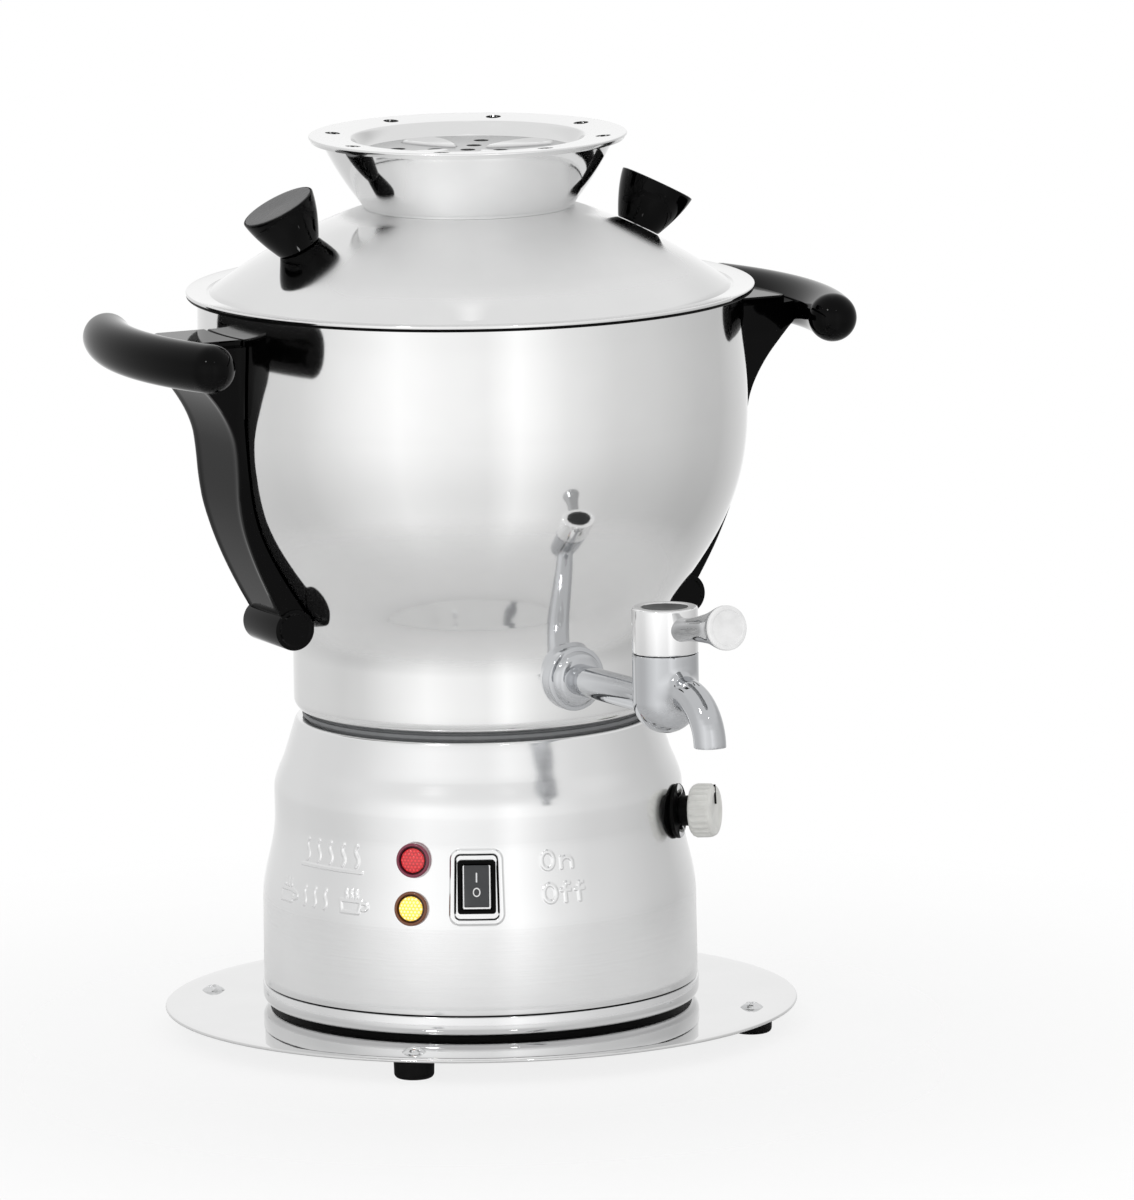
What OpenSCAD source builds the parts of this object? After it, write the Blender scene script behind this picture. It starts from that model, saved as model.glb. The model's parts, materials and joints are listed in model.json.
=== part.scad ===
// Electric samovar: a heater base on a drip plate, a bellied pot with two handles and a tap,
// a domed lid with two knobs, and a lift-off teapot stand. Millimetres, +Z up.
// The vertical axis is Z, the tap points along -Y, and Z = 0 is the underside of the drip plate.

/* [Drip plate and feet] */
// Radius of the drip plate
plate_r = 125.3; // [112:0.5:135]
// Thickness of the drip plate
plate_t = 1.5; // [1:0.1:2.5]
// Distance of the feet from the plate's edge
foot_inset = 15.3; // [12:0.1:20]
// Radius of a rubber foot
foot_r = 8; // [6.5:0.5:10]
// Height of a rubber foot
foot_h = 8.5; // [6:0.5:14]

/* [Heater base] */
// Radius of the heater shell at its foot
shell_r = 86; // [84:0.5:90]
// Radius of the heater shell at its waist
waist_r = 80.6; // [79:0.2:83]
// Radius of the heater shell's top corner
neck_r = 72; // [70.4:0.2:73]
// Sheet thickness of the heater shell
shell_t = 1; // [0.8:0.1:1.4]
// Height of the black ring between the plate and the pan
spacer_h = 1.2; // [0.8:0.1:2.5]
// Height of the base pan's rim
pan_h = 8.5; // [7:0.5:11]
// Height of the heater shell
shell_h = 105.8; // [102:0.5:112]
// Height of the seal between the heater shell and the pot
seal_h = 3; // [2:0.2:5]

/* [Controls] */
// Angle of the switch from the tap, towards the left handle
switch_angle = 31.8; // [28:0.5:36]
// Height of the switch's middle
switch_z = 62; // [58:1:66]
// Width of the switch frame
switch_w = 15; // [14:0.5:17]
// Height of the switch frame
switch_l = 21; // [20:0.5:23]
// Travel of the rocker
rocker_travel = 14; // [8:1:18]
// Angle of the lamps from the tap, towards the left handle
lamp_angle = 49.2; // [47:0.5:54]
// Height of the red lamp's middle
red_z = 72; // [70:0.5:75]
// Height of the amber lamp's middle
amber_z = 53.4; // [50:0.5:55]
// Radius of a lamp's rim
lamp_r = 6.8; // [6:0.1:8]
// Angle of the thermostat knob from the tap, towards the right handle
dial_angle = 43; // [34:1:60]
// Height of the thermostat knob's middle
dial_z = 80; // [72:1:82]
// Radius of the thermostat knob
dial_r = 10.8; // [9:0.2:13]
// Length of the thermostat knob
dial_l = 9.5; // [8:0.5:15]

/* [Pot] */
// Radius of the pot's foot
pot_foot_r = 72.3; // [71:0.2:74]
// Radius of the pot's belly
pot_r = 108.7; // [106:0.2:109.5]
// Height of the pot
pot_h = 166; // [162:1:170]
// Sheet thickness of the pot's wall
pot_t = 1; // [0.8:0.1:1.4]

/* [Tap] */
// Height of the tap's neck above the pot's bottom
tap_rise = 20.8; // [19:0.2:23]
// Distance of the tap's body from the vertical axis
tap_reach = 142; // [138:0.5:146]
// Radius of the tap's body
tap_r = 12.9; // [12:0.1:14]
// Radius of the tap's neck
neck_tube_r = 6.2; // [5.6:0.1:7]
// Radius of the tap's outlet bore
outlet_bore_r = 4.3; // [3.5:0.1:4.8]
// Length of the lever from the tap's axis
lever_l = 46.5; // [40:0.5:55]
// Radius of the lever's end
lever_end_r = 8.7; // [7:0.1:10]
// Turn of the lever between open and shut
tap_turn = 90; // [60:5:100]

/* [Handles] */
// Turn of the two handles away from square to the tap
handle_turn = -6; // [-8:1:8]
// Distance of the grips' centre line from the pot's belly
grip_reach = 34.6; // [32:0.1:42]
// Radius of a grip
grip_r = 9.6; // [8.5:0.1:11]
// Half of the angle that a grip spans
grip_half_angle = 20.4; // [17:0.2:24]
// Height of a grip's centre line above the pot's bottom
grip_rise = 150.7; // [148:0.5:152]
// Half the width of a handle bracket at its top
bracket_half_w = 20; // [17:0.5:22]
// Half the width of a handle bracket at its lower end
bracket_low_half_w = 15; // [12:0.5:17]
// Radius of the roll at a bracket's lower end
roll_r = 8.2; // [7:0.1:9]

/* [Lid] */
// How far the lid's flange stands out past the pot's rim
lid_overhang = 4.4; // [3:0.1:8]
// Sheet thickness of the lid
lid_t = 0.9; // [0.7:0.1:1.2]
// Height of the dome above the flange's underside
dome_h = 33; // [30:0.5:36]
// Radius of the steam opening in the lid
steam_r = 33; // [28:0.5:34]
// Turn of the lid on the pot
lid_turn = -12; // [-30:1:30]
// Radius of a lid knob's foot
knob_foot_r = 8.9; // [7:0.1:9.5]
// Radius of a lid knob's top
knob_top_r = 15; // [12:0.1:16]
// Height of a lid knob
knob_h = 18.7; // [16:0.1:22]
// Distance of a lid knob from the vertical axis
knob_reach = 70.5; // [66:0.5:76]

/* [Teapot stand] */
// Radius of the stand's flange
stand_r = 62.7; // [60:0.5:66]
// Height of the stand
stand_h = 28.8; // [26:0.2:32]
// Radius of the recess that holds the teapot
recess_r = 46.5; // [44:0.5:48]
// Depth of that recess
recess_d = 5.5; // [4:0.5:8]
// Number of steam holes in the flange
flange_holes = 8; // [4:1:12]
// Radius of a steam hole
flange_hole_r = 3; // [2:0.1:3.6]
// Distance from the recess to the middle of a steam hole
flange_hole_gap = 7.6; // [6:0.1:8]
// Height of the petals pressed up in the recess's floor
petal_h = 1.1; // [0.6:0.1:1.5]

/* [Hidden] */

$fn = 96;
eps = 0.01;
seat = 0.3;          // gap between curved faces that only rest near each other
fit = 0.1;           // radial clearance of a screw or a tube in its hole
run_fit = 0.06;      // radial clearance of a turning shaft in its bore

// Sizes that follow from the sizes above
foot_circle_r = plate_r - foot_inset;
grip_circle_r = pot_r + grip_reach;
rim_r = pot_r - 1.1;
lid_r = rim_r + lid_overhang;
seat_r = steam_r + 8.5;
pan_screw_r = shell_r - 9;
seal_r = pot_foot_r - 3.3;
seal_in_r = seal_r - 8;
foot_corner = 5;     // radius of the pot's bottom edge

// Heights that follow from the stack
pan_z = plate_t + spacer_h;
shell_z = pan_z + pan_h;
shell_top_z = shell_z + shell_h;
pot_z = shell_top_z + seal_h;
rim_z = pot_z + pot_h;
lid_seat_z = rim_z + dome_h;
tap_z = pot_z + tap_rise;
grip_z = pot_z + grip_rise;

// Screws
m4_r = 2;
m4_head_r = 3.8;
m4_head_h = 2.4;
m5_r = 2.4;
m5_head_r = 4.4;
m5_head_h = 3;
foot_head_r = 4.6;
foot_head_h = 2;
steel = "silver";
black = [0.06, 0.06, 0.07];

// Points of a cubic curve from a to d, without its first point
function curve(a, b, c, d, n = 8) =
    [for (i = [1:n]) let (t = i / n, u = 1 - t)
        u * u * u * a + 3 * u * u * t * b + 3 * u * t * t * c + t * t * t * d];
// Points of an arc round c, from angle a0 to a1
function arc(c, r, a0, a1, n = 6) =
    [for (i = [0:n]) let (a = a0 + (a1 - a0) * i / n) c + r * [cos(a), sin(a)]];
// The same outline moved in or out and up or down
function moved(pts, dr, dz = 0) = [for (p = pts) [p[0] + dr, p[1] + dz]];
function flipped(pts) = [for (i = [len(pts) - 1:-1:0]) pts[i]];

// The radius of a rising outline at a height
function radius_at(pts, z) =
    [for (i = [1:len(pts) - 1])
        if (pts[i - 1][1] <= z && z <= pts[i][1] && pts[i][1] > pts[i - 1][1])
            pts[i - 1][0] + (pts[i][0] - pts[i - 1][0])
                * (z - pts[i - 1][1]) / (pts[i][1] - pts[i - 1][1])][0];

module ring(r_out, r_in, h) {
    difference() {
        cylinder(r = r_out, h = h);
        translate([0, 0, -1]) cylinder(r = r_in, h = h + 2);
    }
}
// Turns +X to face outwards at an angle from the tap, positive towards the right handle
module facing(angle, reach, z, lean = 0) {
    rotate([0, 0, angle - 90]) translate([reach, 0, z]) rotate([0, -lean, 0]) children();
}
// A cylinder that runs along +X
module along_x(r, l) {
    rotate([0, 90, 0]) cylinder(r = r, h = l);
}
module dome_head(r, h) {
    rise = (r * r + h * h) / (2 * h);
    intersection() {
        translate([0, 0, h - rise]) sphere(r = rise);
        cylinder(r = r, h = h);
    }
}
module at_feet() {
    for (i = [0:3]) rotate([0, 0, 45 + 90 * i]) translate([foot_circle_r, 0, 0]) children();
}

// ---------------------------------------------------------------- drip plate and feet

plate_step = 0.3;    // how far the plate's flat middle is pressed down below its border
// The plate's flat middle stands on the bench side of the pan screws' heads
module base_plate() {
    border_t = plate_t - plate_step;
    middle_r = pan_screw_r - m4_head_r - 3;
    color([0.86, 0.87, 0.88]) difference() {
        union() {
            cylinder(r = middle_r, h = plate_t);
            translate([0, 0, plate_step]) {
                cylinder(r = plate_r - border_t / 2, h = border_t);
                translate([0, 0, border_t / 2]) rotate_extrude()
                    translate([plate_r - border_t / 2, 0]) circle(r = border_t / 2, $fn = 32);
            }
        }
        at_feet() translate([0, 0, -1]) cylinder(r = m4_r + fit, h = plate_t + 2);
        at_pan_screws() translate([0, 0, -1]) cylinder(r = m4_r + fit, h = plate_t + 2);
        vent_holes(-1);
    }
}

foot_taper = 1;
foot_screw_l = foot_h - 2;
module rubber_feet() {
    color(black) at_feet() difference() {
        translate([0, 0, -foot_h]) rotate_extrude() polygon(concat(
            [[0, 0], [foot_r - foot_taper - 1, 0]],
            arc([foot_r - foot_taper - 1, 1], 1, -90, 0),
            [[foot_r, foot_h + plate_step], [0, foot_h + plate_step]]));
        translate([0, 0, -foot_screw_l]) cylinder(r = m4_r + 0.02, h = foot_screw_l + 1);
    }
}
module foot_screws() {
    color(steel) at_feet() {
        translate([0, 0, plate_t]) dome_head(foot_head_r, foot_head_h);
        translate([0, 0, -foot_screw_l + 0.5])
            cylinder(r = m4_r, h = foot_screw_l - 0.5 + plate_t + 0.2);
    }
}

// ---------------------------------------------------------------- heater base

spacer_in = 2.4;
module spacer_ring() {
    color(black) translate([0, 0, plate_t]) difference() {
        ring(shell_r - spacer_in, shell_r - 12, spacer_h);
        at_pan_screws() cylinder(r = m4_r + fit, h = 3 * spacer_h, center = true);
    }
}

pan_corner = 3.6;
vent_circle_r = 0.6 * shell_r;
vent_r = 3;
vents = 8;
pan_t = 1.2;
module at_pan_screws() {
    for (i = [0:3]) rotate([0, 0, 90 * i]) translate([pan_screw_r, 0, 0]) children();
}
module vent_holes(z) {
    for (i = [0:vents - 1]) rotate([0, 0, 360 * (i + 0.5) / vents])
        translate([vent_circle_r, 0, z]) cylinder(r = vent_r, h = 4);
}
// A shallow pressed pan whose rim is the polished trim ring under the heater shell
module base_pan() {
    trim_r = shell_r + 0.4;
    collar_r = shell_r - shell_t - seat;
    color([0.84, 0.85, 0.86]) difference() {
        translate([0, 0, pan_z]) rotate_extrude() polygon(concat([[0, 0]],
            arc([trim_r - pan_corner, pan_corner], pan_corner, -90, 0),
            [[trim_r, pan_h - 0.4], [trim_r - 0.4, pan_h], [collar_r, pan_h],
             [collar_r, pan_h + 4], [collar_r - 1, pan_h + 4], [collar_r - 1, pan_h - 2],
             [trim_r - pan_corner, pan_t], [0, pan_t]]));
        at_pan_screws() translate([0, 0, pan_z - 1]) cylinder(r = m4_r + fit, h = pan_t + 2);
        vent_holes(pan_z - 1);
    }
}
module pan_screws() {
    color(steel) at_pan_screws() {
        translate([0, 0, plate_step]) mirror([0, 0, 1]) dome_head(m4_head_r, m4_head_h);
        translate([0, 0, plate_step / 2]) cylinder(r = m4_r, h = pan_z + pan_t + 5);
        translate([0, 0, pan_z + pan_t]) cylinder(r = 3.7, h = 3, $fn = 6);
    }
}

// Outline of the heater shell from its foot to its top corner
// (heights are shares of the shell's own height)
function share(k) = shell_z + k * shell_h;
function shell_outline() = concat(
    [[shell_r, shell_z], [shell_r - 0.2, share(0.31)]],
    curve([shell_r - 0.2, share(0.31)], [shell_r - 0.2, share(0.424)],
          [waist_r, share(0.518)], [waist_r, share(0.631)], 10),
    [[waist_r + 0.1, share(0.726)]],
    curve([waist_r + 0.1, share(0.726)], [waist_r + 0.1, share(0.773)],
          [neck_r + 6, share(0.816)], [neck_r + 4.3, share(0.858)], 8),
    arc([neck_r - 1.6, shell_top_z - 1.6], 1.6, 17, 90, 5));
// Radius of the shell's outside at a height on its sloping front
function shell_r_at(z) = radius_at(shell_outline(), z);
// The slope of the shell's front over a stretch above and below a height, and how far out
// something flat must stand there
function lean_at(z, half) = atan2(shell_r_at(z - half) - shell_r_at(z + half), 2 * half);
function reach_at(z, half) =
    max(shell_r_at(z), (shell_r_at(z - half) + shell_r_at(z + half)) / 2) + seat;
ledge_r = neck_r - 14;
switch_hole = [switch_w - 2, switch_l - 2];
lamp_hole_r = 5;
module heater_shell() {
    outside = shell_outline();
    inside = flipped(moved(outside, -shell_t, 0));
    color([0.85, 0.86, 0.87]) difference() {
        rotate_extrude() polygon(concat(outside,
            [[ledge_r, shell_top_z], [ledge_r, shell_top_z - shell_t],
             [neck_r - 2.6, shell_top_z - shell_t]],
            [for (p = inside) if (p[1] < shell_top_z - 1.7) p]));
        at_switch() cube([20, switch_hole[0], switch_hole[1]], center = true);
        for (z = [red_z, amber_z]) at_lamp(z) translate([-10, 0, 0]) along_x(lamp_hole_r, 20);
        at_dial() translate([-10, 0, 0]) {
            along_x(dial_shaft_r + 1.2, 20);
            for (s = [-1, 1]) translate([0, 0, s * thermostat_screw_gap])
                along_x(thermostat_screw_r + fit, 20);
        }
        facing(180, shell_r, inlet_z)
            cube([20, inlet_w + 2 * fit, inlet_l + 2 * fit], center = true);
        facing(180, shell_r, inlet_z) for (s = [-1, 1])
            translate([-10, s * inlet_screw_gap, 0]) along_x(m4_r * 0.75 + fit, 20);
    }
}

// ---------------------------------------------------------------- lamps and switch

lamp_rim_t = 2.2;
lamp_lens_r = 4.3;
module at_lamp(z) {
    facing(-lamp_angle, reach_at(z, lamp_r), z, lean_at(z, lamp_r)) children();
}
module lamp_lens(z) {
    at_lamp(z) rotate([0, 90, 0]) {
        rotate_extrude() polygon(concat(
            [[0, 0], [lamp_r, 0], [lamp_r, lamp_rim_t - 0.8]],
            arc([lamp_r - 0.8, lamp_rim_t - 0.8], 0.8, 0, 90, 4),
            [[lamp_lens_r + 1, lamp_rim_t], [lamp_lens_r + 0.6, lamp_rim_t - 0.7],
             [lamp_lens_r, lamp_rim_t - 0.7], [lamp_lens_r - 0.4, lamp_rim_t + 0.4],
             [0, lamp_rim_t + 1]]));
        mirror([0, 0, 1]) cylinder(r = lamp_hole_r - fit, h = 7);
    }
}
module red_lamp_lens() { color([0.75, 0.05, 0.08]) lamp_lens(red_z); }
module amber_lamp_lens() { color([0.95, 0.6, 0.1]) lamp_lens(amber_z); }
module lamp_holders() {
    color([0.9, 0.9, 0.86]) for (z = [red_z, amber_z])
        at_lamp(z) translate([-7, 0, 0]) rotate([0, -90, 0]) {
            cylinder(r = lamp_hole_r - 0.3, h = 14);
            for (s = [-1, 1]) translate([s * 2.4, 0, 17]) cube([0.8, 4.8, 7], center = true);
        }
}
module lamp_clips() {
    color(steel) for (z = [red_z, amber_z])
        at_lamp(z) translate([-shell_t - seat - 2.6, 0, 0])
            rotate([0, 90, 0]) ring(lamp_hole_r + 2.4, lamp_hole_r, 1);
}

module at_switch() {
    facing(-switch_angle, reach_at(switch_z, switch_l / 2), switch_z,
        lean_at(switch_z, switch_l / 2)) children();
}
frame_t = 2;
rocker_w = switch_w - 4.4;
rocker_l = switch_l - 4.4;
rocker_pivot = 2.5;      // depth of the rocker's pivot behind the frame's face
rocker_pin_r = 1.2;
module switch_frame() {
    color([0.1, 0.1, 0.11]) at_switch() difference() {
        union() {
            translate([frame_t / 2, 0, 0]) cube([frame_t, switch_w, switch_l], center = true);
            translate([-11, 0, 0])
                cube([22, switch_hole[0] - 2 * fit, switch_hole[1] - 2 * fit], center = true);
            for (s = [-1, 0, 1]) translate([-25.5, 0, s * 5.5])
                cube([7, 4.8, 0.8], center = true);
        }
        translate([-3, 0, 0]) cube([12, rocker_w + 0.6, rocker_l + 0.6], center = true);
        translate([frame_t - rocker_pivot, -rocker_w / 2 - 1.2, 0]) rotate([-90, 0, 0])
            cylinder(r = rocker_pin_r + run_fit, h = rocker_w + 2.4);
    }
}
// The rocker is drawn with its upper half pressed in
module switch_rocker() {
    half = rocker_l / 2;
    rise = half * sin(rocker_travel / 2);
    color([0.2, 0.2, 0.21]) at_switch() translate([frame_t - rocker_pivot, 0, 0])
        rotate([0, -rocker_travel / 2, 0]) {
        rotate([90, 0, 0]) linear_extrude(rocker_w, center = true) polygon(concat(
            [[rocker_pivot + rise, -half + 0.4], [rocker_pivot - 0.2, 0],
             [rocker_pivot + rise, half - 0.4]],
            [[0, half - 0.3], [-3, 5], [-5, 2], [-5, -2], [-3, -5], [0, -half + 0.3]]));
        rotate([90, 0, 0]) cylinder(r = rocker_pin_r, h = rocker_w + 2, center = true);
    }
}

// ---------------------------------------------------------------- thermostat

dial_plate_t = 1.5;
dial_hub_l = 5;
dial_hub_r = 6;
dial_shaft_r = 3;
thermostat_screw_gap = 8.2;
thermostat_screw_r = 1.5;
thermostat_body_r = 15;
dial_gap = 0.4;
module at_dial() {
    facing(dial_angle, reach_at(dial_z, dial_r), dial_z, lean_at(dial_z, dial_r)) children();
}
module dial_plate() {
    color(black) at_dial() rotate([0, 90, 0]) difference() {
        ring(dial_r, dial_shaft_r + run_fit, dial_plate_t);
        for (s = [-1, 1]) translate([s * thermostat_screw_gap, 0, -1])
            cylinder(r = thermostat_screw_r + fit, h = dial_plate_t + 2);
    }
}
module thermostat_knob() {
    ribs = 24;
    hub_x = dial_plate_t + dial_gap;
    color([0.9, 0.9, 0.88]) at_dial() difference() {
        union() {
            translate([hub_x, 0, 0]) along_x(dial_hub_r, dial_hub_l + eps);
            translate([hub_x + dial_hub_l, 0, 0]) rotate([0, 90, 0]) rotate_extrude()
                polygon([[0, 0], [dial_r - 1, 0], [dial_r - 0.4, 0.8],
                         [dial_r - 0.4, dial_l - 1.2], [dial_r - 1.6, dial_l], [0, dial_l]]);
            for (i = [0:ribs - 1]) rotate([360 * i / ribs, 0, 0])
                translate([hub_x + dial_hub_l + 0.9, 0, dial_r - 0.6]) along_x(0.6, dial_l - 2.3);
        }
        along_x(dial_shaft_r + 0.01, hub_x + dial_hub_l + dial_l - 3);
    }
}
module thermostat_shaft() {
    color(steel) at_dial() translate([-6, 0, 0]) along_x(dial_shaft_r, 6 + dial_hub_l + dial_l - 2);
}
module thermostat_body() {
    color([0.75, 0.72, 0.6]) at_dial() difference() {
        union() {
            translate([-28, 0, 0]) along_x(thermostat_body_r, 22);
            translate([-6 - eps, 0, 0]) along_x(dial_shaft_r + 5, 3);
            translate([-5.5, 0, 0]) cube([1.2, 16, 2 * thermostat_screw_gap + 8], center = true);
            for (s = [-1, 1]) translate([-5, 0, s * thermostat_screw_gap]) along_x(2.8, 2);
            for (s = [-1, 1]) translate([-31, s * 6, 0]) cube([7, 0.8, 6.3], center = true);
        }
        translate([-7, 0, 0]) along_x(dial_shaft_r + run_fit, 8);
        for (s = [-1, 1]) translate([-7, 0, s * thermostat_screw_gap])
            along_x(thermostat_screw_r + 0.02, 8);
    }
}
module thermostat_screws() {
    color(steel) at_dial() for (s = [-1, 1]) translate([0, 0, s * thermostat_screw_gap]) {
        translate([dial_plate_t, 0, 0]) rotate([0, 90, 0]) dome_head(2.6, 1.4);
        translate([-6.5, 0, 0]) along_x(thermostat_screw_r, 6.5 + dial_plate_t + 0.2);
    }
}

// ---------------------------------------------------------------- power inlet and wiring parts

inlet_w = 27.6;
inlet_l = 20;
inlet_z = 34;
inlet_screw_gap = 20;
inlet_face_t = 3;
module power_inlet() {
    color(black) facing(180, shell_r + seat, inlet_z) difference() {
        union() {
            translate([inlet_face_t / 2, 0, 0])
                cube([inlet_face_t, 2 * inlet_screw_gap + 9, 23], center = true);
            translate([-11, 0, 0]) cube([22, inlet_w, inlet_l], center = true);
        }
        translate([inlet_face_t - 8, 0, 0]) cube([16.1, 24.4, 16.8], center = true);
        for (s = [-1, 1]) translate([-1, s * inlet_screw_gap, 0])
            along_x(m4_r * 0.75 + fit, inlet_face_t + 2);
        inlet_blades(2 * eps);
    }
}
inlet_recess = 5;
module inlet_blades(grow) {
    for (p = [[-7, -2], [0, 2], [7, -2]])
        translate([inlet_face_t - inlet_recess - 13.5, p[0], p[1]])
            cube([27, 2 + grow, 4 + grow], center = true);
}
module inlet_pins() {
    color(steel) facing(180, shell_r + seat, inlet_z) inlet_blades(0);
}
module inlet_screws() {
    color(steel) facing(180, shell_r + seat, inlet_z) for (s = [-1, 1])
        translate([0, s * inlet_screw_gap, 0]) {
            translate([inlet_face_t, 0, 0]) rotate([0, 90, 0]) dome_head(2.8, 1.6);
            translate([-6, 0, 0]) along_x(m4_r * 0.75, 6 + inlet_face_t + 0.2);
            translate([-shell_t - seat - 6.2, 0, 0]) rotate([0, 90, 0])
                cylinder(r = 2.8, h = 2.4, $fn = 6);
        }
}
module terminal_block() {
    color([0.92, 0.92, 0.9]) translate([0, 20, pan_z + pan_t]) {
        difference() {
            translate([-22, -8, 0]) cube([44, 16, 14]);
            for (i = [-1.5:1:1.5]) translate([i * 10, 0, 4]) {
                cylinder(r = 2.4, h = 12);
                translate([0, 0, 4]) rotate([90, 0, 0])
                    cylinder(r = 2, h = 20, center = true);
            }
        }
    }
}
cutout_r = 8;
module thermal_cutout() {
    color([0.15, 0.15, 0.16]) translate([0, -22, pot_z - heat_plate_t]) mirror([0, 0, 1]) {
        cylinder(r = cutout_r, h = 9);
        translate([-12, -3.5, 0]) cube([24, 7, 1]);
        for (s = [-1, 1]) translate([s * 4 - 0.4, -3, 9 - eps]) cube([0.8, 6, 8]);
    }
}

// ---------------------------------------------------------------- heater

heat_plate_r = min(ledge_r, seal_in_r) - 4;
heat_plate_t = 4;
element_r = 40;
element_tube_r = 4;
element_gap = 40;       // angle left open between the element's two ends
element_z = pot_z - heat_plate_t - element_tube_r;
module heat_plate() {
    color([0.7, 0.71, 0.72]) translate([0, 0, pot_z - heat_plate_t])
        ring(heat_plate_r, 4, heat_plate_t);
}
module heating_element() {
    color([0.35, 0.33, 0.32]) translate([0, 0, element_z]) {
        rotate([0, 0, 90 + element_gap / 2]) rotate_extrude(angle = 360 - element_gap)
            translate([element_r, 0]) circle(r = element_tube_r, $fn = 48);
        for (s = [-1, 1]) rotate([0, 0, 90 + s * element_gap / 2])
            translate([element_r, 0, 0]) {
                sphere(r = element_tube_r, $fn = 48);
                mirror([0, 0, 1]) cylinder(r = element_tube_r, h = 14);
                mirror([0, 0, 1]) cylinder(r = 1.6, h = 24);
            }
    }
}
bridge_t = 2;
bridge_w = 22;
bridge_drop = 20;
stud_r = 3;
module clamp_bridge() {
    end_x = neck_r - 8;
    foot_z = shell_top_z - shell_t - bridge_t;
    color(steel) difference() {
        rotate([90, 0, 0]) linear_extrude(bridge_w, center = true) polygon([
            [-end_x, foot_z + bridge_t], [-end_x, foot_z], [-end_x + 10, foot_z],
            [-32, foot_z - bridge_drop], [32, foot_z - bridge_drop], [end_x - 10, foot_z],
            [end_x, foot_z], [end_x, foot_z + bridge_t], [end_x - 11, foot_z + bridge_t],
            [31, foot_z - bridge_drop + bridge_t], [-31, foot_z - bridge_drop + bridge_t],
            [-end_x + 11, foot_z + bridge_t]]);
        translate([0, 0, foot_z - bridge_drop - 1]) cylinder(r = stud_r + fit, h = bridge_t + 2);
    }
}
module bridge_nuts() {
    low_z = shell_top_z - shell_t - bridge_t - bridge_drop;
    color(steel) translate([0, 0, low_z - 1.2]) {
        ring(7, stud_r + fit, 1.2);
        translate([0, 0, -5]) difference() {
            cylinder(r = 5.6, h = 5, $fn = 6);
            translate([0, 0, -1]) cylinder(r = stud_r + 0.02, h = 7);
        }
    }
}

// ---------------------------------------------------------------- pot

module seal_ring() {
    groove = 0.7;
    color([0.32, 0.34, 0.35]) translate([0, 0, shell_top_z]) rotate_extrude() polygon([
        [seal_in_r, 0], [seal_r - 1.4, 0], [seal_r - 1.4, groove], [seal_r, groove],
        [seal_r, seal_h - groove], [seal_r - 1.4, seal_h - groove],
        [seal_r - 1.4, seal_h], [seal_in_r, seal_h]]);
}

belly_z = pot_z + 120;
blend_z = pot_z + 46;
blend_r = pot_foot_r + 8.7;
// Outline of the pot's outside from the edge of its bottom to its rim
function pot_outline() = concat(
    arc([pot_foot_r - foot_corner, pot_z + foot_corner], foot_corner, -90, 0, 6),
    [[pot_foot_r, pot_z + 23]],
    curve([pot_foot_r, pot_z + 23], [pot_foot_r, pot_z + 31],
          [blend_r - 4.8, blend_z - 6.4], [blend_r, blend_z], 6),
    curve([blend_r, blend_z], [blend_r + 18.6, blend_z + 24.8],
          [pot_r, belly_z - 32], [pot_r, belly_z], 16),
    curve([pot_r, belly_z], [pot_r + 0.2, belly_z + 12], [rim_r, belly_z + 28],
          [rim_r, belly_z + 38], 6),
    [[rim_r, rim_z]]);
function pot_r_at(z) = radius_at(pot_outline(), z);
// Everything inside the pot's outside, grown by a gap
module pot_space(gap) {
    rotate_extrude() polygon(concat([[0, pot_z]], moved(pot_outline(), gap),
        [[rim_r + gap, rim_z + 20], [0, rim_z + 20]]));
}
// The whole pot's sheet: floor, foot, flared flank and belly
module pot_sheet() {
    outside = pot_outline();
    floor_z = pot_z + 1.2;
    rotate_extrude() polygon(concat([[0, pot_z]], outside,
        [for (p = flipped(moved(outside, -pot_t))) if (p[1] > pot_z + 4) p],
        arc([pot_foot_r - foot_corner, pot_z + foot_corner], foot_corner - pot_t, -10, -90, 4),
        [[0, floor_z]]));
}
// The pot is a drawn foot and a spun belly, welded and polished where the flank opens out
pot_weld_z = blend_z + 10;
module pot_foot() {
    color([0.88, 0.89, 0.9]) difference() {
        pot_sheet();
        translate([0, 0, pot_weld_z]) cylinder(r = 2 * pot_r, h = pot_h);
        translate([0, 0, tap_z]) rotate([90, 0, 0]) cylinder(r = shank_r + fit, h = 200);
    }
}
module pot_body() {
    color([0.88, 0.89, 0.9]) difference() {
        pot_sheet();
        translate([0, 0, pot_z - 1]) cylinder(r = 2 * pot_r, h = pot_weld_z - pot_z + 1);
    }
}
// Studs welded to the pot: one under its bottom, and behind each handle bracket a threaded boss
// for its screw and below it a plain peg that the bracket's leg hooks over
stud_l = 34;
boss_r = 4.8;
boss_high_z = grip_z - 12.5;
boss_low_z = pot_z + 53;
boss_high_x = rim_r + 4.5;
boss_low_x = pot_r_at(boss_low_z) + 3;
module pot_studs() {
    color(steel) {
        translate([0, 0, pot_z - stud_l]) cylinder(r = stud_r, h = stud_l);
        for (side = [0, 180]) rotate([0, 0, handle_turn + side]) difference() {
            union() {
                translate([0, 0, boss_high_z]) along_x(boss_r, boss_high_x);
                translate([0, 0, boss_low_z]) along_x(boss_r, boss_low_x);
            }
            pot_space(0.02);
            translate([boss_high_x - 3, 0, boss_high_z]) along_x(m5_r + 0.02, 4);
        }
    }
}

// ---------------------------------------------------------------- tap

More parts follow.
